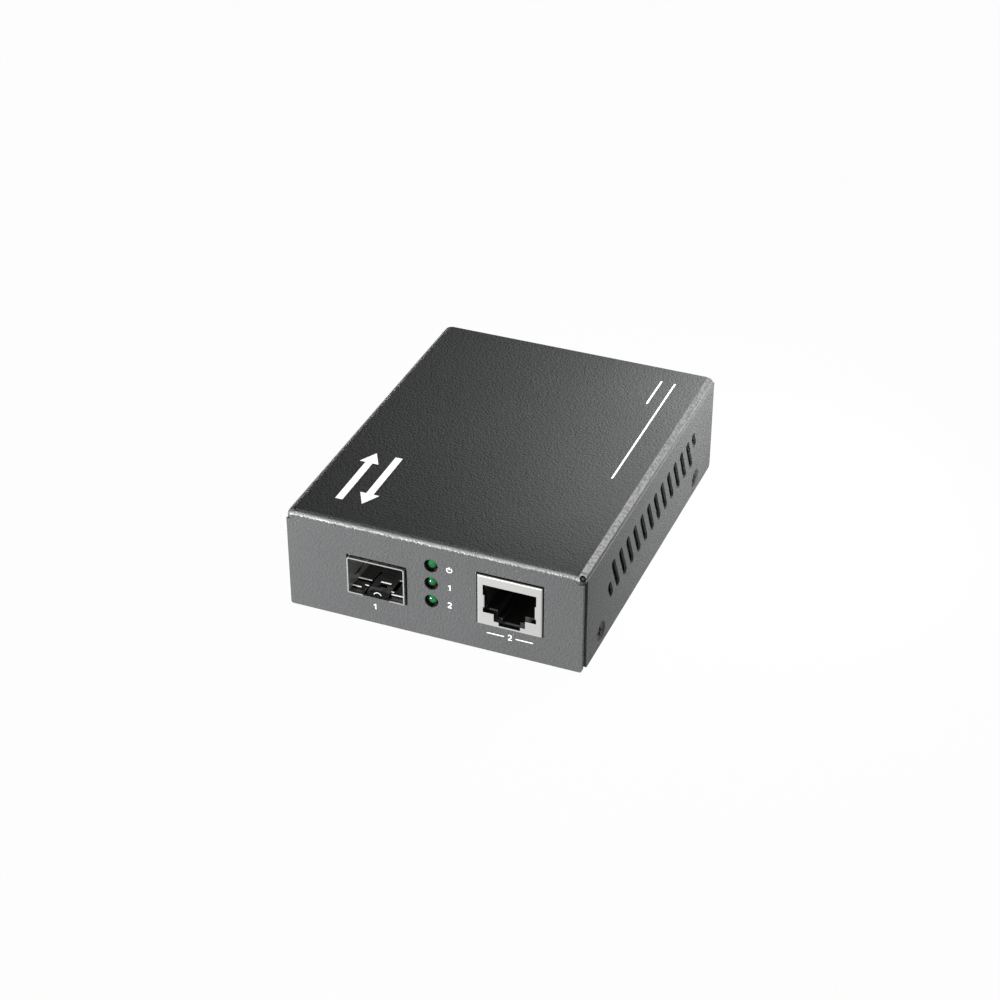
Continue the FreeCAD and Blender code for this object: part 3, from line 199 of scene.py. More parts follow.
class ShaderGroups:
    """Node groups for the effects that several finishes share, each made once."""

    # Bands of the painted highlights on the bends: low, high and soft edge, from 0 at the mask's
    # reach to 1 at a face.
    HIGH_UP = (0.3, 2.0, 0.05)
    END_STRIP = (0.60, 0.88, 0.06)
    SIDE_STRIP = (0.06, 0.84, 0.04)
    LINE_BELOW_TOP = (0.05, 0.15, 0.03)
    LINE_AT_SIDE = (0.9, 2.0, 0.02)

    def __init__(self) -> None:
        """Makes the groups."""
        self.grain = self.make_grain()
        self.brushing = self.make_brushing()
        self.bends = self.make_bends()

    def start(self, name: str, inputs: Dict[str, Union[float, Corner]],
              outputs: Sequence[str]) -> Tuple[Wiring, object, object]:
        """Makes an empty group that reads coordinates and gives numbers.

        Args:
            name: What the group is called.
            inputs: Default of each input beside the coordinates, by name.
            outputs: Names of the outputs.

        Returns:
            The wiring, and the sockets that it reads from and writes to.
        """
        tree = bpy.data.node_groups.new(name, "ShaderNodeTree")
        tree.interface.new_socket("Vector", in_out="INPUT", socket_type="NodeSocketVector")
        for label, default in inputs.items():
            kind = "NodeSocketVector" if isinstance(default, tuple) else "NodeSocketFloat"
            socket = tree.interface.new_socket(label, in_out="INPUT", socket_type=kind)
            socket.default_value = default
        for label in outputs:
            tree.interface.new_socket(label, in_out="OUTPUT", socket_type="NodeSocketFloat")
        given = tree.nodes.new("NodeGroupInput").outputs
        return Wiring(tree), given, tree.nodes.new("NodeGroupOutput").inputs

    def make_grain(self) -> bpy.types.NodeTree:
        """Makes the sandy relief of a cured coat: coarse pebbles with a finer tooth over them.

        Returns:
            The group, with a Height and a Speck output from 0 to 1.
        """
        net, given, result = self.start(
            "sandy_grain", {"Pebble Scale": 1400.0, "Tooth Scale": 3600.0, "Tooth Share": 0.35},
            ("Height", "Speck"))
        pebble = net.noise(given["Vector"], given["Pebble Scale"], detail=1.5, roughness=0.45)
        tooth = net.noise(given["Vector"], given["Tooth Scale"], detail=1.0)
        blend = net.node("ShaderNodeMix", Factor=given["Tooth Share"], A=pebble, B=tooth)
        height = blend.outputs["Result"]
        net.feed(result["Height"], height)
        net.feed(result["Speck"], net.spread(height, read=(0.3, 0.7)))
        return net.tree

    def make_brushing(self) -> bpy.types.NodeTree:
        """Makes the fine parallel lines left by rolling and brushing a metal.

        Returns:
            The group, with a Height and a Shade output from 0 to 1.
        """
        net, given, result = self.start(
            "brushed_lines", {"Stretch": Grain.NONE.value, "Line Scale": 900.0},
            ("Height", "Shade"))
        pulled = net.math("MULTIPLY", given["Vector"], given["Stretch"],
                          kind="ShaderNodeVectorMath")
        lines = net.noise(pulled, given["Line Scale"], detail=3.0)
        stain = net.noise(given["Vector"], scale=160.0, detail=2.0)
        mixed = net.node("ShaderNodeMix", Factor=0.4, A=lines, B=stain)
        net.feed(result["Height"], lines)
        net.feed(result["Shade"], mixed.outputs["Result"])
        return net.tree

    def make_bends(self) -> bpy.types.NodeTree:
        """Makes masks for a folded box: painted highlights on its upper front and right bends, and
        painted shade on its inside.

        Returns:
            The group, with an End Highlight, a Side Highlight and an Inside Shade output from 0 to
            1.
        """
        net, given, result = self.start(
            "folded_box",
            {"Half Size": (0.01, 0.01, 0.01), "Reach": 0.001, "Break Scale": 2300.0,
             "Break Share": 0.16, "Skin": 0.0006, "Floor": 0.0083},
            ("End Highlight", "Side Highlight", "Inside"))
        outward = net.math("ABSOLUTE", given["Vector"], kind="ShaderNodeVectorMath")
        inward = net.math("SUBTRACT", given["Half Size"], outward, kind="ShaderNodeVectorMath")
        depth = net.node("ShaderNodeSeparateXYZ", Vector=inward).outputs
        place = net.node("ShaderNodeSeparateXYZ", Vector=given["Vector"]).outputs
        near = {axis: net.spread(depth[axis], (1.0, 0.0), (0.0, given["Reach"]))
                for axis in ("X", "Y", "Z")}
        broken = net.noise(given["Vector"], given["Break Scale"], detail=1.0)
        jag = net.math("MULTIPLY", net.math("SUBTRACT", broken, 0.5), given["Break Share"])
        high_up = net.band(near["Z"], *self.HIGH_UP)

        # Painted highlight along the upper front bend, on the front half only.
        end_strip = net.band(net.math("ADD", near["Y"], jag), *self.END_STRIP)
        in_front = net.math("LESS_THAN", place["Y"], 0.0)
        end_highlight_mask = net.math("MULTIPLY", net.math("MULTIPLY", end_strip, high_up), in_front)
        net.feed(result["End Highlight"], end_highlight_mask)

        # Painted highlight along the upper right bend, streaky, with a thin bright line below it,
        # on the right side only.
        side_strip = net.band(net.math("MULTIPLY_ADD", jag, 0.5, near["X"]), *self.SIDE_STRIP)
        upper = net.math("MULTIPLY", side_strip, high_up)
        lower_line = net.math("MULTIPLY", net.band(near["Z"], *self.LINE_BELOW_TOP),
                              net.band(near["X"], *self.LINE_AT_SIDE))
        on_right = net.math("GREATER_THAN", place["X"], 0.0)
        side_highlight_mask = net.math("MULTIPLY", net.math("MAXIMUM", upper, lower_line), on_right)
        net.feed(result["Side Highlight"], side_highlight_mask)

        # Painted shade on every face that lies behind the outer skin and above the floor.
        nearest = net.math("MINIMUM", net.math("MINIMUM", depth["X"], depth["Y"]), depth["Z"])
        behind = net.math("GREATER_THAN", nearest, given["Skin"])
        above = net.math("GREATER_THAN", place["Z"], given["Floor"])
        net.feed(result["Inside"], net.math("MULTIPLY", behind, above))
        return net.tree


class Sketch(Wiring):
    """One material while it is made, with its shader and the object's own coordinates."""

    def __init__(self, name: str) -> None:
        """Makes the material with its shader and output.

        Args:
            name: Name of the material.
        """
        self.material = bpy.data.materials.new(name)
        self.material.use_nodes = True
        super().__init__(self.material.node_tree)
        self.shader = self.tree.nodes["Principled BSDF"]
        self.place = self.tree.nodes.new("ShaderNodeTexCoord").outputs["Object"]

    def group(self, tree: bpy.types.NodeTree, **values: Fed) -> object:
        """Places a shared group, fed with the object's own coordinates.

        Args:
            tree: The group.
            **values: What they get, with an underscore for each space in a name.

        Returns:
            The group's output sockets.
        """
        made = self.tree.nodes.new("ShaderNodeGroup")
        made.node_tree = tree
        return self.fill(made, Vector=self.place, **values).outputs

    def surface(self, **values: Fed) -> None:
        """Feeds the shader's named inputs."""
        self.fill(self.shader, **values)

    def bump(self, height: Fed, distance: float, strength: float = 1.0) -> None:
        """Feeds a height to the shader's normal, as a relief of a distance in metres."""
        made = self.node("ShaderNodeBump", Height=height, Distance=distance, Strength=strength)
        self.surface(Normal=made.outputs["Normal"])


# ---- finishes ----


class Finish:
    """What every finish shares."""

    def paint(self, sketch: Sketch, groups: ShaderGroups) -> None:
        """Wires the finish into a material."""
        raise NotImplementedError

    def make(self, name: str, groups: ShaderGroups) -> bpy.types.Material:
        """Makes the finish's material.

        Args:
            name: What it is called.
            groups: The shared shader groups.

        Returns:
            The material.
        """
        sketch = Sketch(name)
        self.paint(sketch, groups)
        return sketch.material


@dataclass(frozen=True)
class PowderCoat(Finish):
    """Fine sandy powder coat over folded steel, with painted highlights along its upper front and
    right bends, shown as bare metal, and painted shade inside.
    """

    deep: Colour = (0.092, 0.094, 0.095)
    pale: Colour = (0.113, 0.115, 0.116)
    pebble_scale: float = 2050.0
    tooth_scale: float = 4300.0
    tooth_share: float = 0.2
    cloud_scale: float = 38.0
    cloud_share: float = 0.16
    cloud_span: Span = (0.35, 0.75)
    cloud_tone: float = 1.42
    # Colours of the painted highlights on the upper bends, shown as bare rubbed metal.
    end_highlight: Colour = (0.27, 0.27, 0.27)
    side_highlight: Colour = (0.46, 0.46, 0.46)
    side_highlight_streak: Colour = (0.28, 0.28, 0.28)
    streak_scale: float = 1500.0
    streak_span: Span = (0.42, 0.62)
    smoothing: float = 0.7
    level: Colour = (0.5, 0.5, 0.5)
    roughness: float = 0.46
    swing: float = 0.06
    mirror: float = 0.03
    relief: float = 0.00034
    half_size: Corner = (0.0365, 0.04725, 0.027)
    # Colour of the painted shade inside the box.
    inside_shade: Colour = (0.012, 0.012, 0.012)
    reach: float = 0.00175
    skin: float = 0.0006

    def paint(self, sketch: Sketch, groups: ShaderGroups) -> None:
        """Wires the coat: grain, pale clouds, painted highlights on the bends and painted shade on
        the inside.

        Args:
            sketch: The material's sketch.
            groups: The shared shader groups.
        """
        grain = sketch.group(groups.grain, Pebble_Scale=self.pebble_scale,
                             Tooth_Scale=self.tooth_scale, Tooth_Share=self.tooth_share)
        cloud = sketch.noise(sketch.place, self.cloud_scale, detail=3.0, roughness=0.6)
        tone = sketch.mix(grain["Speck"], self.deep, self.pale)
        shade = sketch.spread(cloud, (0.0, self.cloud_share), self.cloud_span)
        tone = sketch.mix(shade, tone, tuple(part * self.cloud_tone for part in self.pale))
        fold = sketch.group(groups.bends, Half_Size=self.half_size, Reach=self.reach,
                            Skin=self.skin)
        streaks = sketch.noise(sketch.place, self.streak_scale, detail=1.0)
        side_highlight_tone = sketch.mix(sketch.spread(streaks, read=self.streak_span), self.side_highlight,
                          self.side_highlight_streak)
        shown = sketch.mix(fold["Side Highlight"], tone, side_highlight_tone)
        shown = sketch.mix(fold["End Highlight"], shown, self.end_highlight)
        # Where the highlights are painted, the coat turns metallic and smoother.
        highlight_mask = sketch.math("MAXIMUM", fold["End Highlight"], fold["Side Highlight"])
        gloss = (self.roughness + self.swing, self.roughness - self.swing)
        sketch.surface(Base_Color=sketch.mix(fold["Inside"], shown, self.inside_shade), Metallic=highlight_mask,
                       Roughness=sketch.spread(grain["Speck"], gloss),
                       Specular_IOR_Level=self.mirror)
        smoothed = sketch.spread(highlight_mask, (0.0, self.smoothing))
        sketch.bump(sketch.mix(smoothed, grain["Height"], self.level), self.relief)


@dataclass(frozen=True)
class RolledMetal(Finish):
    """Bare or plated metal with brushed lines and faint stains."""

    bright: Colour = (0.78, 0.78, 0.77)
    dull: Colour = (0.60, 0.60, 0.59)
    rough_low: float = 0.26
    rough_high: float = 0.42
    lines: Grain = Grain.ALONG_X
    line_scale: float = 1400.0
    shade_span: Span = (0.35, 0.65)
    relief: float = 0.000006
    turned_face_light_shade: float = 1.0
    turned_span: Span = (-0.92, -0.55)
    metal: float = 1.0

    def paint(self, sketch: Sketch, groups: ShaderGroups) -> None:
        """Wires the metal: lines, stains, and painted light and shade on faces that turn away from
        the front.

        Args:
            sketch: The material's sketch.
            groups: The shared shader groups.
        """
        brushed = sketch.group(groups.brushing, Stretch=self.lines.value,
                               Line_Scale=self.line_scale)
        shade = brushed["Shade"]
        tone = sketch.mix(sketch.spread(shade, read=self.shade_span), self.dull, self.bright)
        # Faces turned away from the front get painted shade where the factor is below 1 and painted
        # light where it is above 1.
        if self.turned_face_light_shade != 1.0:
            normal = sketch.node("ShaderNodeNewGeometry").outputs["Normal"]
            way = sketch.node("ShaderNodeSeparateXYZ", Vector=normal).outputs["Y"]
            side = tuple(part * self.turned_face_light_shade for part in self.dull)
            tone = sketch.mix(sketch.spread(way, read=self.turned_span), tone, side)
        gloss = sketch.spread(shade, (self.rough_high, self.rough_low), self.shade_span)
        sketch.surface(Base_Color=tone, Roughness=gloss, Metallic=self.metal)
        sketch.bump(brushed["Height"], self.relief)


@dataclass(frozen=True)
class MouldedPlastic(Finish):
    """Moulded plastic, rubber or matt dark finish with a fine grain."""

    deep: Colour = (0.010, 0.010, 0.011)
    pale: Colour = (0.020, 0.020, 0.021)
    roughness: float = 0.42
    swing: float = 0.08
    pebble_scale: float = 2600.0
    tooth_factor: float = 2.4
    tooth_share: float = 0.4
    relief: float = 0.00002
    mirror: float = 0.5

    def paint(self, sketch: Sketch, groups: ShaderGroups) -> None:
        """Wires the moulding's grain.

        Args:
            sketch: The material's sketch.
            groups: The shared shader groups.
        """
        grain = sketch.group(groups.grain, Pebble_Scale=self.pebble_scale,
                             Tooth_Scale=self.pebble_scale * self.tooth_factor,
                             Tooth_Share=self.tooth_share)
        gloss = (self.roughness + self.swing, self.roughness - self.swing)
        sketch.surface(Base_Color=sketch.mix(grain["Speck"], self.deep, self.pale),
                       Roughness=sketch.spread(grain["Speck"], gloss),
                       Specular_IOR_Level=self.mirror)
        sketch.bump(grain["Height"], self.relief)


@dataclass(frozen=True)
class GreenResin(Finish):
    """Tinted clear resin of a small light, with painted shade towards its rim and a faint painted
    glow.
    """

    core: Colour = (0.006, 0.19, 0.05)
    dark_tint_and_rim_shade: Colour = (0.002, 0.012, 0.004)
    glow: Colour = (0.004, 0.11, 0.03)
    rim_painted_glow: Colour = (0.0, 0.001, 0.0)
    painted_glow_strength: float = 0.35
    cloud_scale: float = 900.0
    cloud_share: float = 0.7
    cloud_span: Span = (0.38, 0.62)
    rim_blend: float = 0.45
    rim_span: Span = (0.08, 0.42)
    roughness: float = 0.07
    mirror: float = 0.2
    coat: float = 0.2
    coat_roughness: float = 0.03
    relief: float = 0.00006

    def paint(self, sketch: Sketch, groups: ShaderGroups) -> None:
        """Wires the resin: clouds, the painted shade at the rim and the faint painted glow.

        Args:
            sketch: The material's sketch.
            groups: The shared shader groups.
        """
        facing = sketch.node("ShaderNodeLayerWeight", Blend=self.rim_blend).outputs["Facing"]
        cloud = sketch.noise(sketch.place, self.cloud_scale, detail=2.0)
        share = sketch.spread(cloud, (0.0, self.cloud_share), self.cloud_span)
        # Painted shade towards the rim, by how far the surface turns from the view.
        turned = sketch.spread(facing, read=self.rim_span)
        body = sketch.mix(turned, sketch.mix(share, self.core, self.dark_tint_and_rim_shade), self.dark_tint_and_rim_shade)
        sketch.surface(Base_Color=body, Roughness=self.roughness, Specular_IOR_Level=self.mirror,
                       Coat_Weight=self.coat, Coat_Roughness=self.coat_roughness,
                       Emission_Color=sketch.mix(turned, self.glow, self.rim_painted_glow),
                       Emission_Strength=self.painted_glow_strength)
        sketch.bump(cloud, self.relief, strength=0.6)


@dataclass(frozen=True)
class SolderMask(Finish):
    """Green lacquer over a circuit board, with its tracks standing slightly proud."""

    bare: Colour = (0.004, 0.045, 0.018)
    over_copper: Colour = (0.009, 0.085, 0.032)
    track_scale: float = 260.0
    track_span: Span = (0.38, 0.42)
    cloud_scale: float = 60.0
    cloud_share: float = 0.25
    gloss: Span = (0.22, 0.34)
    relief: float = 0.00003

    def paint(self, sketch: Sketch, groups: ShaderGroups) -> None:
        """Wires the lacquer: tracks and faint clouds.

        Args:
            sketch: The material's sketch.
            groups: The shared shader groups.
        """
        cells = sketch.node("ShaderNodeTexVoronoi", Vector=sketch.place, Scale=self.track_scale)
        cells.distance = "CHEBYCHEV"
        cells.feature = "F1"
        tracks = sketch.spread(cells.outputs["Distance"], (1.0, 0.0), self.track_span)
        cloud = sketch.noise(sketch.place, self.cloud_scale, detail=2.0)
        copper = sketch.mix(tracks, self.bare, self.over_copper)
        shade = sketch.spread(cloud, (0.0, self.cloud_share))
        sketch.surface(Base_Color=sketch.mix(shade, copper, self.bare),
                       Roughness=sketch.spread(cloud, self.gloss))
        sketch.bump(tracks, self.relief, strength=0.6)


@dataclass(frozen=True)
class PrintInk(Finish):
    """Screen-printed ink that follows the coat's grain below it, with a painted glow on top of its
    lit colour.
    """

    ink: Colour = (0.86, 0.86, 0.86)
    thin: Colour = (0.74, 0.74, 0.74)
    ink_painted_glow: float = 1.0
    thin_span: Span = (0.0, 0.45)
    gloss: Span = (0.55, 0.42)
    relief: float = 0.00006

    def paint(self, sketch: Sketch, groups: ShaderGroups) -> None:
        """Wires the ink, thinner over the grain's low spots, and its painted glow.

        Args:
            sketch: The material's sketch.
            groups: The shared shader groups.
        """
        grain = sketch.group(groups.grain, Pebble_Scale=1500.0, Tooth_Scale=4200.0,
                             Tooth_Share=0.3)
        cover = sketch.spread(grain["Speck"], read=self.thin_span)
        tone = sketch.mix(cover, self.thin, self.ink)
        sketch.surface(Base_Color=tone, Emission_Color=tone, Emission_Strength=self.ink_painted_glow,
                       Roughness=sketch.spread(grain["Speck"], self.gloss))
        sketch.bump(grain["Height"], self.relief)


CORNER_COAT = PowderCoat(skin=0.0011)
# Cage metal: its inner walls get painted light.
NICKEL = RolledMetal(bright=(0.36, 0.36, 0.355), dull=(0.30, 0.30, 0.295), rough_low=0.3,
                     lines=Grain.ALONG_Y, turned_face_light_shade=1.15, metal=0.4)
FINISHES: Dict[str, Finish] = {
    "powder_coat": PowderCoat(),
    "corner_coat": CORNER_COAT,
    # Darker coat for the core of the mark that paints the shade in the front right corner relief.
    "notch_shade_coat": replace(CORNER_COAT, deep=(0.03, 0.03, 0.031), pale=(0.042, 0.042, 0.043),
                          end_highlight=(0.08, 0.08, 0.08), side_highlight=(0.08, 0.08, 0.08),
                          side_highlight_streak=(0.05, 0.05, 0.05)),
    "white_print": PrintInk(),
    "nickel_plate": NICKEL,
    # Floor metal: its turned faces get painted shade.
    "shaded_floor_nickel": replace(NICKEL, turned_face_light_shade=0.6),
    # Collar metal, darkened as painted shade in the gap round the cage.
    "shaded_spring_nickel": RolledMetal(bright=(0.22, 0.22, 0.21), dull=(0.06, 0.06, 0.06),
                                 rough_low=0.2, rough_high=0.34),
    # Shield metal: its top and side faces get painted shade for the dark gap round it.
    "tin_plate": RolledMetal(bright=(0.55, 0.55, 0.54), dull=(0.43, 0.43, 0.42), rough_low=0.3,
                             turned_face_light_shade=0.12),
    "blackened_steel": MouldedPlastic(deep=(0.010, 0.009, 0.008), pale=(0.045, 0.037, 0.031),
                                      roughness=0.45, mirror=0.12, pebble_scale=2400.0),
    "zinc_plated_steel": RolledMetal(bright=(0.62, 0.60, 0.56), dull=(0.40, 0.38, 0.35),
                                     lines=Grain.NONE),
    "turned_brass": RolledMetal(bright=(0.80, 0.62, 0.30), dull=(0.56, 0.41, 0.18),
                                rough_low=0.24, rough_high=0.4),
    "contact_gold": RolledMetal(bright=(0.95, 0.72, 0.32), dull=(0.80, 0.57, 0.22),
                                rough_low=0.16, rough_high=0.3, lines=Grain.ALONG_Y),
    "tinned_lead": RolledMetal(dull=(0.55, 0.55, 0.54), lines=Grain.ALONG_Z),
    "drawn_aluminium": RolledMetal(bright=(0.84, 0.84, 0.85), dull=(0.68, 0.68, 0.69),
                                   rough_low=0.2, rough_high=0.34, lines=Grain.ALONG_Z),
    "black_moulding": MouldedPlastic(),
    "cut_edge_shade": MouldedPlastic(deep=(0.003, 0.003, 0.003), pale=(0.007, 0.007, 0.007),
                                     roughness=0.7, mirror=0.05),
    # Glowing pale ink for the painted highlights on the slot's springs and latch.
    "painted_glint": PrintInk(ink=(0.70, 0.70, 0.69), thin=(0.58, 0.58, 0.57), ink_painted_glow=0.5),
    "foot_rubber": MouldedPlastic(deep=(0.014, 0.014, 0.014), pale=(0.032, 0.032, 0.032),
                                  roughness=0.72, pebble_scale=1600.0, relief=0.00005),
    "chip_moulding": MouldedPlastic(deep=(0.018, 0.018, 0.019), pale=(0.036, 0.036, 0.038),
                                    roughness=0.5, pebble_scale=3200.0, relief=0.000012),
    "tan_ceramic": MouldedPlastic(deep=(0.40, 0.29, 0.18), pale=(0.56, 0.43, 0.29),
                                  roughness=0.4, pebble_scale=2800.0, relief=0.00001),
    "green_resin": GreenResin(),
    "solder_mask": SolderMask(),
}


# ---- pieces ----


class Assembly:
    """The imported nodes, the finishes and the ways to add a piece."""

    def __init__(self, nodes: Dict[str, bpy.types.Object]) -> None:
        """Keeps the nodes and makes every finish.

        Args:
            nodes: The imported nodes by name.
        """
        groups = ShaderGroups()
        self.nodes = nodes
        self.finishes = {name: finish.make(name, groups) for name, finish in FINISHES.items()}

    def dress(self, finish: str, names: Sequence[str]) -> None:
        """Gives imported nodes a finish.

        Args:
            finish: Name of the finish.
            names: The nodes.
        """
        for name in names:
            mesh = self.nodes[name].data
            mesh.materials.clear()
            mesh.materials.append(self.finishes[finish])
            LOG.info("dressed %s", name)

    def add(self, name: str, mesh: bmesh.types.BMesh, finish: str, slot: str,
            smooth: bool = False) -> bpy.types.Object:
        """Turns a finished mesh into a piece of the object.

        Args:
            name: Name of the piece.
            mesh: Its mesh in the row's frame.
            finish: Name of its finish.
            slot: Name of its material slot; not used.
            smooth: Whether its faces are shaded as one round surface.

        Returns:
            The piece.
        """
        bmesh.ops.recalc_face_normals(mesh, faces=mesh.faces)
        data = bpy.data.meshes.new(name)
        mesh.to_mesh(data)
        mesh.free()
        data.materials.append(self.finishes[finish])
        for polygon in data.polygons:
            polygon.use_smooth = smooth
        piece = bpy.data.objects.new(name, data)
        bpy.context.scene.collection.objects.link(piece)
        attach(piece, "root")
        LOG.info("built %s with %d faces", name, len(data.polygons))
        return piece


def arc(centre: Point, radius: float, start: float, end: float, steps: int) -> List[Point]:
    """Points along an arc.

    Args:
        centre: Middle of the arc.
        radius: Its radius.
        start: First angle in degrees.
        end: Last angle in degrees.
        steps: Number of parts.

    Returns:
        The points.
    """
    turns = [math.radians(start + (end - start) * index / steps) for index in range(steps + 1)]
    return [(centre[0] + radius * math.cos(turn), centre[1] + radius * math.sin(turn))
            for turn in turns]


def circle(centre: Point, radius: float, steps: int) -> List[Point]:
    """Points round a circle, as many as it has steps."""
    return arc(centre, radius, 0, 360, steps)[:-1]


def bridge(mesh: bmesh.types.BMesh, first: Ring, second: Ring) -> None:
    """Joins two rings of corners with a band of faces.

    Args:
        mesh: Mesh that both belong to.
        first: One ring.
        second: The other ring, with the same number of corners.
    """
    for index, corner in enumerate(first):
        following = (index + 1) % len(first)
        mesh.faces.new([corner, first[following], second[following], second[index]])


def block(mesh: bmesh.types.BMesh, low: Corner, high: Corner) -> None:
    """Adds a box to a mesh, from its lowest corner to its highest."""
    for vert in bmesh.ops.create_cube(mesh, size=1.0)["verts"]:
        vert.co = Vector([a + (b - a) * (part + 0.5) for a, b, part in zip(low, high, vert.co)])


@dataclass
class Film:
    """Thin flat shapes that stand proud of one face by a thickness, gathered in one mesh."""

    facing: Direction
    level: float
    thickness: float
    mesh: bmesh.types.BMesh = field(default_factory=bmesh.new)

    def at(self, point: Point, rise: float) -> Corner:
        """Places a point of an outline at a rise over the face."""
        if self.facing is Direction.FRONT:
            return (point[0], self.level - rise, point[1])
        return (point[0], point[1], self.level + rise)

    def shape(self, outline: Sequence[Point]) -> None:
        """Adds a filled shape.

        Args:
            outline: Its corners.
        """
        low = [self.mesh.verts.new(self.at(point, 0.0)) for point in outline]
        high = [self.mesh.verts.new(self.at(point, self.thickness)) for point in outline]
        self.mesh.faces.new(high)
        bridge(self.mesh, low, high)

    def stroke(self, path: Sequence[Point], width: float) -> None:
        """Adds a pen stroke of even width along a path.

        Args:
            path: Points of its middle line.
            width: Width of the stroke.
        """
        left: List[Point] = []
        right: List[Point] = []
        for index, point in enumerate(path):
            before = path[max(index - 1, 0)]
            after = path[min(index + 1, len(path) - 1)]
            run = Vector((after[0] - before[0], after[1] - before[1])).normalized()
            across = Vector((-run.y, run.x)) * width / 2
            left.append((point[0] + across.x, point[1] + across.y))
            right.append((point[0] - across.x, point[1] - across.y))
        self.shape(left + right[::-1])


class Section:
    """One section of the object, with its nodes' finishes and its finer pieces."""

    dressing: ClassVar[Dressing] = {}

    def detail(self, assembly: Assembly) -> None:
        """Builds the section's finer pieces, where it has any."""

    def build(self, assembly: Assembly) -> None:
        """Dresses the section's nodes and builds its finer pieces.

        Args:
            assembly: Where the nodes are and the pieces go.
        """
        for finish, names in self.dressing.items():
            assembly.dress(finish, names)
        self.detail(assembly)


@dataclass
class CasePrint(Section):
    """Plain print on the case: port numbers, a power sign, two-way arrows and rules.

    Attributes:
        arrows: Middle of each arrow's tail, and 1 to point to the rear or -1 to the front.
        rules: Place across the case, front end and rear end of each line.
    """

    thickness: float = 0.00003
    pen: float = 0.0002
    figure_height: float = 0.00145
    light_signs: Tuple[Point, ...] = (
        (4.2 * MM, 20.75 * MM), (4.2 * MM, 15.9 * MM), (4.2 * MM, 11.05 * MM))
    slot_figure: Point = (-14.5 * MM, 5.7 * MM)
    jack_figure: Point = (18.87 * MM, 6.0 * MM)
    dash_gap: float = 1.4 * MM
    dash: float = 4.2 * MM
    shaft_half: float = 0.9 * MM
    head_half: float = 2.4 * MM
    head_length: float = 4.4 * MM
    arrow_length: float = 21.0 * MM
    arrows: Tuple[Tuple[Point, int], ...] = (
        ((-27.0 * MM, -38.5 * MM), 1), ((-21.2 * MM, -17.5 * MM), -1))
    rule_width: float = 0.42 * MM
    rules: Tuple[Corner, ...] = (
        (28.3 * MM, -7.0 * MM, 39.7 * MM), (24.8 * MM, 28.0 * MM, 39.7 * MM))

    def figure_one(self, film: Film, centre: Point) -> None:
        """Draws a plain 1 on the front.

        Args:
            film: Where it is drawn.
            centre: Its middle.
        """
        x, z = centre
        height = self.figure_height
        low, high = z - height / 2, z + height / 2
        stem = x + 0.1 * height
        film.stroke([(stem, low), (stem, high)], self.pen)
        film.stroke([(x - 0.22 * height, high - 0.28 * height), (stem, high - 0.06 * height)],
                    self.pen)

    def figure_two(self, film: Film, centre: Point) -> None:
        """Draws a plain 2 on the front.

        Args:
            film: Where it is drawn.
            centre: Its middle.
        """
        x, z = centre
        bow = 0.27 * self.figure_height
        foot = z - self.figure_height / 2 + self.pen / 2
        curve = arc((x, z + self.figure_height / 2 - bow), bow, 170, -40, 9)
        film.stroke(curve + [(x - bow, foot)], self.pen)
        film.stroke([(x - bow * 1.1, foot), (x + bow * 1.15, foot)], self.pen)

    def power_sign(self, film: Film, centre: Point) -> None:
        """Draws the plain power sign on the front: a broken ring with an upright bar.

        Args:
            film: Where it is drawn.
            centre: Its middle.
        """
        x, z = centre
        height = self.figure_height
        film.stroke(arc(centre, height / 2 - self.pen / 2, 125, 415, 16), self.pen)
        film.stroke([(x, z + 0.05 * height), (x, z + 0.56 * height)], self.pen)

    def arrow(self, film: Film, tail: Point, way: int) -> None:
        """Draws a plain block arrow on the top, along the case's depth.

        Args:
            film: Where it is drawn.
            tail: Middle of its tail.
            way: 1 to point to the rear, -1 to the front.
        """
        x, y = tail
        shaft, wing = self.shaft_half, self.head_half
        neck = y + way * (self.arrow_length - self.head_length)
        tip = y + way * self.arrow_length
        film.shape([(x - shaft, y), (x - shaft, neck), (x - wing, neck), (x, tip),
                    (x + wing, neck), (x + shaft, neck), (x + shaft, y)])

    def rule(self, film: Film, across: float, start: float, end: float) -> None:
        """Draws a straight line with round ends on the top, at a place across the case."""
        half = self.rule_width / 2
        film.shape(arc((across, end - half), half, 0, 180, 6)
                   + arc((across, start + half), half, 180, 360, 6))

    def detail(self, assembly: Assembly) -> None:
        """Builds the print on the front and the top.

        Args:
            assembly: Where the pieces go.
        """
        front = Film(Direction.FRONT, FRONT_FACE, self.thickness)
        draw = (self.power_sign, self.figure_one, self.figure_two)
        for sign, place in zip(draw, self.light_signs):
            sign(front, place)
        self.figure_one(front, self.slot_figure)
        self.figure_two(front, self.jack_figure)
        x, z = self.jack_figure
        for side in (-1, 1):
            near = x + side * self.dash_gap
            front.stroke([(near, z), (near + side * self.dash, z)], self.pen)
        assembly.add("front_print", front.mesh, "white_print", "powder_coat")
        arrows = Film(Direction.TOP, TOP_FACE, self.thickness)
        for tail, way in self.arrows:
            self.arrow(arrows, tail, way)
        assembly.add("top_arrows", arrows.mesh, "white_print", "powder_coat")
        rules = Film(Direction.TOP, TOP_FACE, self.thickness)
        for across, start, end in self.rules:
            self.rule(rules, across, start, end)
        assembly.add("top_rules", rules.mesh, "white_print", "powder_coat")


@dataclass(frozen=True)
class Knuckle:
    """A rounded corner of steel in one of the cover's corner reliefs, or a dark mark on it that
    paints the shade in the relief.

    Attributes:
        side: -1 at the left, 1 at the right.
        end: -1 at the front, 1 at the rear.
        rise: How far it stands over the fold.
    """

    name: str
    side: int
    end: int
    finish: str = "corner_coat"
    radius: float = 0.00143
    rise: float = 0.0


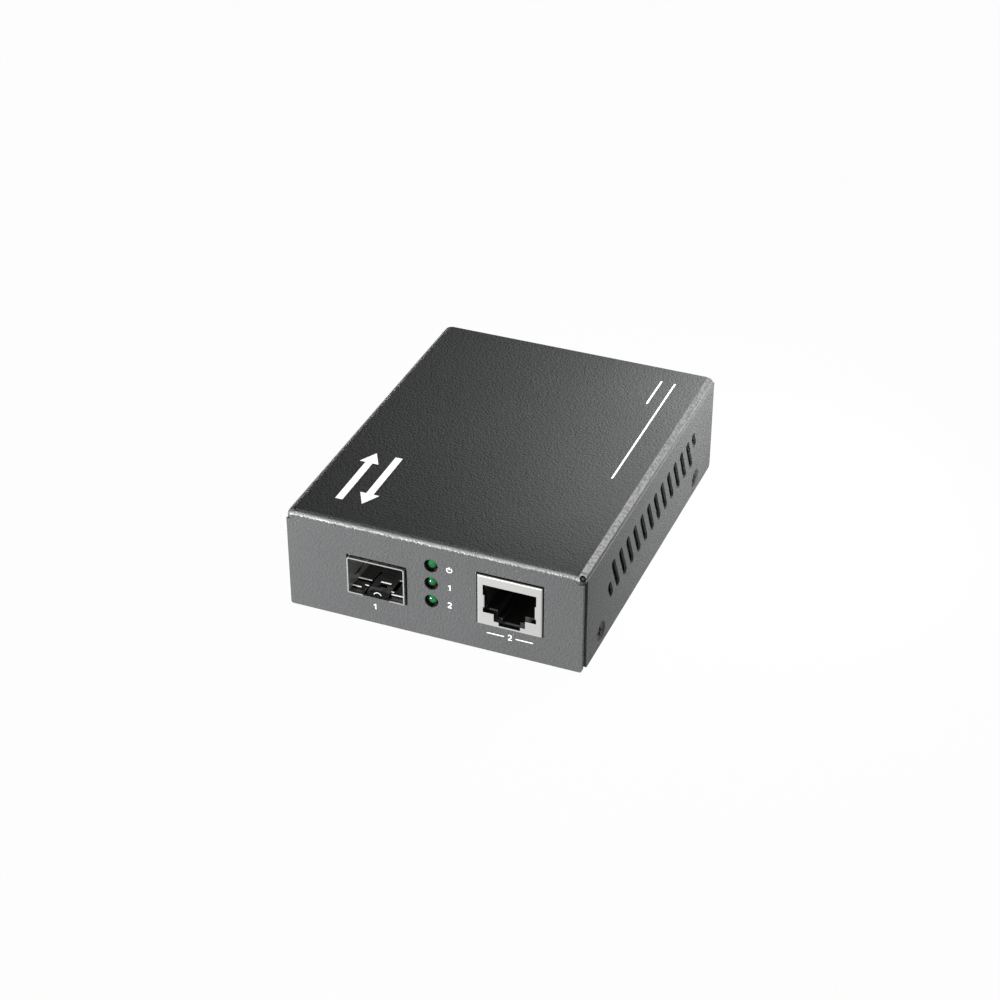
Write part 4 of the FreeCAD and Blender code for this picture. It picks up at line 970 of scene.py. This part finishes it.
@dataclass
class Case(Section):
    """Folded cover, tray, screws and feet.

    Attributes:
        foot_dish: Share of the foot's radius, and height over its underside.
        shade_ring_profile: Radius round the screw, and place across the case.
        corner: Middle of the rear right knuckle's ball.
        fold_middle: Middle of the rear right corner's rounding.
    """

    dressing: ClassVar[Dressing] = {
        "powder_coat": ("cover", "base_plate"),
        "blackened_steel": ("cover_screws",),
        "foot_rubber": ("rubber_feet",),
    }
    foot_radius: float = 0.004
    foot_edge: float = 0.0003
    foot_edge_turns: Tuple[int, ...] = (0, 22, 45, 68, 90)
    foot_dish: Tuple[Point, ...] = ((0.72, 0.0), (0.66, 0.00008), (0.3, 0.00012))
    round_steps: int = 40
    screw_places: Tuple[float, ...] = (-0.0355, 0.0337)
    screw_height: float = 0.0045
    shade_ring_profile: Tuple[Point, ...] = ((0.00226, 0.03595), (0.00262, 0.03595),
                                      (0.00262, 0.03606), (0.00226, 0.03606))
    corner: Corner = (0.03545, 0.0462, 0.02595)
    fold_middle: Corner = (0.03475, 0.0455, 0.02525)
    fold_radius: float = 0.00171
    knuckles: Tuple[Knuckle, ...] = (
        Knuckle("front_left_knuckle", -1, -1), Knuckle("front_right_knuckle", 1, -1),
        Knuckle("rear_left_knuckle", -1, 1), Knuckle("rear_right_knuckle", 1, 1),
        # A black ring with a darker core: painted shade in the front right corner relief.
        Knuckle("front_right_notch", 1, -1, "cut_edge_shade", 0.00082, 0.000012),
        Knuckle("front_right_notch_core", 1, -1, "notch_shade_coat", 0.0006, 0.000024))

    def build_feet(self, assembly: Assembly) -> None:
        """Builds the feet with a rolled edge and a shallow dish below.

        Args:
            assembly: Where the piece goes.
        """
        low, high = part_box("rubber_feet")
        radius, edge = self.foot_radius, self.foot_edge
        turns = [math.radians(turn) for turn in self.foot_edge_turns]
        profile = [(radius, high.z)]
        profile += [(radius - edge + edge * math.cos(turn), low.z + edge - edge * math.sin(turn))
                    for turn in turns]
        profile += [(radius * share, low.z + rise) for share, rise in self.foot_dish]
        feet = bmesh.new()
        for x in (low.x + radius, high.x - radius):
            for y in (low.y + radius, high.y - radius):
                rings = [[feet.verts.new((*point, z))
                          for point in circle((x, y), reach, self.round_steps)]
                         for reach, z in profile]
                for upper, under in zip(rings, rings[1:]):
                    bridge(feet, upper, under)
                feet.faces.new(rings[0])
                feet.faces.new(rings[-1][::-1])
        piece = assembly.add("foot_pads", feet, "foot_rubber", "foot_rubber", smooth=True)
        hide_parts("rubber_feet")

    def build_screw_shades(self, assembly: Assembly) -> None:
        """Builds dark rings round the heads of the cover screws: painted shade in the gap between
        each head and its dimple's wall.

        Args:
            assembly: Where the piece goes.
        """
        shades = bmesh.new()
        for side in (-1, 1):
            for along in self.screw_places:
                middle = (along, self.screw_height)
                rings = [[shades.verts.new((side * level, *point))
                          for point in circle(middle, reach, self.round_steps)]
                         for reach, level in self.shade_ring_profile]
                for ring, following in zip(rings, rings[1:] + rings[:1]):
                    bridge(shades, ring, following)
        assembly.add("screw_shades", shades, "cut_edge_shade", "black_plastic")

    def build_knuckle(self, assembly: Assembly, knuckle: Knuckle) -> None:
        """Builds one knuckle: a ball, pressed onto the rounded corner of the fold.

        Args:
            assembly: Where the piece goes.
            knuckle: Which one it is.
        """
        fold = self.fold_radius + knuckle.rise
        ball = bmesh.new()
        bmesh.ops.create_icosphere(ball, subdivisions=4, radius=knuckle.radius)
        for vert in ball.verts:
            place = vert.co + Vector(self.corner)
            beyond = [max(part - middle, 0.0) for part, middle in zip(place, self.fold_middle)]
            length = Vector(beyond).length
            excess = 1.0 - fold / length if length > fold else 0.0
            x, y, z = (part - over * excess for part, over in zip(place, beyond))
            vert.co = Vector((x * knuckle.side, y * knuckle.end, z))
        assembly.add(knuckle.name, ball, knuckle.finish, "powder_coat", smooth=True)

    def detail(self, assembly: Assembly) -> None:
        """Builds the feet, the painted shade round the screws and the corners.

        Args:
            assembly: Where the pieces go.
        """
        self.build_feet(assembly)
        self.build_screw_shades(assembly)
        for knuckle in self.knuckles:
            self.build_knuckle(assembly, knuckle)


@dataclass(frozen=True)
class Tab:
    """One lanced tab of the slot's floor, drawn as a block of painted shade under a strip of
    painted highlight, in millimetres.
    """

    left: float
    right: float
    behind: float
    lift: float = 0.0


@dataclass
class TransceiverSlot(Section):
    """Cage, spring collar and connector of the transceiver, with the fine springs in its floor
    drawn as painted shade and painted highlights.

    Attributes:
        nose_shade: Half width, depth, drop and rise of the shade round the latch's nose.
        under_shade: Half width, start, end, drop and thickness of the shade below the floor.
    """

    dressing: ClassVar[Dressing] = {
        "nickel_plate": ("transceiver_cage",),
        "shaded_floor_nickel": ("transceiver_cage_floor",),
        "shaded_spring_nickel": ("cage_spring_collar",),
        "black_moulding": ("transceiver_connector",),
        "contact_gold": ("transceiver_contacts",),
    }
    mouth: float = -0.04795
    floor: float = 0.0088
    middle: float = -0.0139
    tab_height: float = 0.00052
    tab_glint: float = 0.00014
    tab_depth: float = 0.00025
    tabs: Tuple[Tab, ...] = (
        Tab(-20.6, -18.4, 1.1), Tab(-20.6, -17.2, 4.3), Tab(-14.6, -12.0, 3.7, 0.75),
        Tab(-10.7, -7.8, 1.0), Tab(-11.2, -9.6, 6.6), Tab(-18.0, -17.0, 2.2),
        Tab(-11.2, -10.5, 1.9))
    nose_behind: float = 0.00094
    nose_shade: Tuple[float, float, float, float] = (0.00262, 0.00004, 0.0003, 0.0006)
    nose_radius: float = 0.00095
    nose_drop: float = 0.0002
    nose_width: float = 0.00016
    nose_thickness: float = 0.00006
    under_shade: Tuple[float, ...] = (0.0068, 0.0009, 0.011, 0.00028, 0.00006)

    def detail(self, assembly: Assembly) -> None:
        """Builds the tabs and the latch's rounded nose as painted shade with painted highlights,
        and the painted shades round and below them.

        Args:
            assembly: Where the pieces go.
        """
        shades = bmesh.new()
        glints = bmesh.new()
        for tab in self.tabs:
            left, right = tab.left * MM, tab.right * MM
            near = FRONT_FACE + tab.behind * MM
            far = near + self.tab_depth
            low = self.floor + tab.lift * MM
            top = low + self.tab_height
            block(shades, (left, near, low), (right, far, top))
            block(glints, (left, near, top), (right, far, top + self.tab_glint))
        tip = self.mouth + self.nose_behind
        half, depth, drop, rise = self.nose_shade
        block(shades, (self.middle - half, tip, self.floor - drop),
              (self.middle + half, tip + depth, self.floor + rise))
        # The latch's nose is a bright arc: a painted highlight.
        nose_glint = arc((self.middle, self.floor - self.nose_drop), self.nose_radius, 20, 160, 10)
        Film(Direction.FRONT, tip, self.nose_thickness, glints).stroke(nose_glint, self.nose_width)
        # A dark plate below the floor: painted shade that hides the board.
        half, start, end, drop, thickness = self.under_shade
        under = self.floor - drop
        block(shades, (self.middle - half, self.mouth + start, under),
              (self.middle + half, self.mouth + end, under + thickness))
        assembly.add("slot_spring_shades", shades, "cut_edge_shade", "black_plastic")
        assembly.add("slot_spring_glints", glints, "painted_glint", "tin_plate")


@dataclass
class NetworkJack(Section):
    """Shield, moulding and contacts of the network jack."""

    dressing: ClassVar[Dressing] = {
        "tin_plate": ("jack_shield",),
        "black_moulding": ("jack_housing",),
        "contact_gold": ("jack_contacts",),
    }


@dataclass
class StatusLights(Section):
    """Three green lights in a black holder."""

    dressing: ClassVar[Dressing] = {
        "green_resin": ("power_light", "fibre_light", "copper_light"),
        "black_moulding": ("light_holder",),
        "tinned_lead": ("light_leads",),
    }


@dataclass
class PowerInlet(Section):
    """Moulded inlet with its pin and blades."""

    dressing: ClassVar[Dressing] = {
        "black_moulding": ("inlet_body",),
        "tinned_lead": ("inlet_pin", "inlet_terminals"),
    }


@dataclass
class CircuitBoard(Section):
    """Board with its chips, coil, cans, crystal, screws and standoffs."""

    dressing: ClassVar[Dressing] = {
        "solder_mask": ("circuit_board",),
        "chip_moulding": ("converter_chip", "memory_chip", "regulator_chip",
                          "network_transformer", "power_inductor", "chip_resistors"),
        "tinned_lead": ("chip_leads", "transformer_leads"),
        "drawn_aluminium": ("crystal", "capacitor_cans"),
        "black_moulding": ("capacitor_bases",),
        "tan_ceramic": ("chip_capacitors",),
        "zinc_plated_steel": ("board_screws",),
        "turned_brass": ("board_standoffs",),
    }


# ---- studio ----


@dataclass(frozen=True)
class Lamp:
    """One soft rectangular lamp."""

    name: str
    place: Corner
    size: Tuple[float, float]
    power: float
    aim: Corner = (0.0, 0.0, 0.015)
    gleam: bool = True


@dataclass
class Studio:
    """Pale floor, even surroundings, soft lamps and the camera."""

    camera_place: Corner = (0.172336, -0.433148, 0.316286)
    camera_pitch: float = 33.326
    camera_yaw: float = 21.994
    lens: float = 82.605
    sensor: float = 36.0
    clip: Span = (0.01, 20.0)
    floor_half: float = 3.0
    floor_paint: Colour = (0.86, 0.86, 0.86)
    floor_glow: float = 0.98
    surround: float = 0.004
    lamps: Tuple[Lamp, ...] = (
        Lamp("left_lamp", (-0.30, -0.45, 0.02), (0.10, 0.04), 5.24),
        Lamp("right_lamp", (0.083, 0.05, 0.07), (0.03, 0.03), 0.155, gleam=False),
        Lamp("side_lamp", (0.35, -0.05, 0.03), (0.10, 0.03), 0.06, gleam=False),
        Lamp("near_fill", (0.30, -0.40, 0.05), (0.10, 0.03), 0.27, gleam=False),
        Lamp("top_fill", (0.036, -0.02, 0.060), (0.02, 0.04), 0.0062, (0.036, -0.02, 0.026),
             gleam=False),
        Lamp("rear_fill", (-0.6, 0.6, 0.014), (0.4, 0.02), 2.5, (0.0, 0.0, 0.014)),
    )

    def wire_background(self, net: Wiring, output: str, lit: bpy.types.Node,
                        seen: bpy.types.Node, share: float) -> None:
        """Shows one shader as the background and lights the object with another.

        Args:
            net: Wiring of the tree.
            output: Blender's name of the output node.
            lit: Shader that lights the object.
            seen: Shader for camera, glossy and transmission rays.
            share: Its share in what these rays see.
        """
        rays = net.node("ShaderNodeLightPath").outputs
        most = net.math("MAXIMUM", rays["Is Camera Ray"], rays["Is Glossy Ray"])
        most = net.math("MAXIMUM", most, rays["Is Transmission Ray"])
        both = net.node("ShaderNodeMixShader", Fac=net.math("MULTIPLY", most, share))
        net.feed(both.inputs[1], lit.outputs[0])
        net.feed(both.inputs[2], seen.outputs[0])
        net.node(output, Surface=both.outputs[0])

    def build_floor(self) -> None:
        """Builds the floor, which looks white and keeps a soft shadow."""
        mesh = bmesh.new()
        reach = self.floor_half
        mesh.faces.new([mesh.verts.new((x, y, 0.0)) for x, y in
                        ((-reach, -reach), (reach, -reach), (reach, reach), (-reach, reach))])
        data = bpy.data.meshes.new("floor")
        mesh.to_mesh(data)
        mesh.free()
        floor = bpy.data.objects.new("floor", data)
        bpy.context.scene.collection.objects.link(floor)
        material = bpy.data.materials.new("pale_floor")
        material.use_nodes = True
        material.node_tree.nodes.clear()
        net = Wiring(material.node_tree)
        paint = net.node("ShaderNodeBsdfDiffuse", Color=self.floor_paint)
        glow = net.node("ShaderNodeEmission")
        self.wire_background(net, "ShaderNodeOutputMaterial", paint, glow, self.floor_glow)
        data.materials.append(material)

    def build_surroundings(self) -> None:
        """Builds a world that looks white and lights the object softly."""
        world = bpy.data.worlds.new("surroundings")
        bpy.context.scene.world = world
        world.use_nodes = True
        world.node_tree.nodes.clear()
        net = Wiring(world.node_tree)
        soft = net.node("ShaderNodeBackground", Strength=self.surround)
        white = net.node("ShaderNodeBackground", Color=(1.0, 1.0, 1.0))
        self.wire_background(net, "ShaderNodeOutputWorld", soft, white, 1.0)

    def build_lamps(self) -> None:
        """Builds the soft lamps."""
        for lamp in self.lamps:
            data = bpy.data.lights.new(lamp.name, "AREA")
            data.shape = "RECTANGLE"
            data.size, data.size_y = lamp.size
            data.energy = lamp.power
            made = bpy.data.objects.new(lamp.name, data)
            bpy.context.scene.collection.objects.link(made)
            made.location = lamp.place
            made.visible_camera = False
            made.visible_glossy = lamp.gleam
            aim = Vector(lamp.aim) - Vector(lamp.place)
            made.rotation_euler = aim.to_track_quat("-Z", "Y").to_euler()

    def build_camera(self) -> None:
        """Builds the camera at the photograph's angle."""
        data = bpy.data.cameras.new("camera")
        data.sensor_width = self.sensor
        data.lens = self.lens
        data.clip_start, data.clip_end = self.clip
        camera = bpy.data.objects.new("camera", data)
        bpy.context.scene.collection.objects.link(camera)
        camera.location = self.camera_place
        camera.rotation_euler = (math.radians(90.0 - self.camera_pitch), 0.0,
                                 math.radians(self.camera_yaw))
        bpy.context.scene.camera = camera

    def build(self) -> None:
        """Builds the whole studio."""
        bpy.context.scene.view_settings.view_transform = "Standard"
        self.build_floor()
        self.build_surroundings()
        self.build_lamps()
        self.build_camera()


def main() -> None:
    """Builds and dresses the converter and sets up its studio."""
    logging.basicConfig(level=logging.INFO, format="%(name)s: %(message)s")
    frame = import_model()
    assembly = Assembly(frame["nodes"])
    for section in (Case(), CasePrint(), TransceiverSlot(), NetworkJack(), StatusLights(),
                    PowerInlet(), CircuitBoard()):
        section.build(assembly)
    Studio().build()


if __name__ == "__main__":
    main()
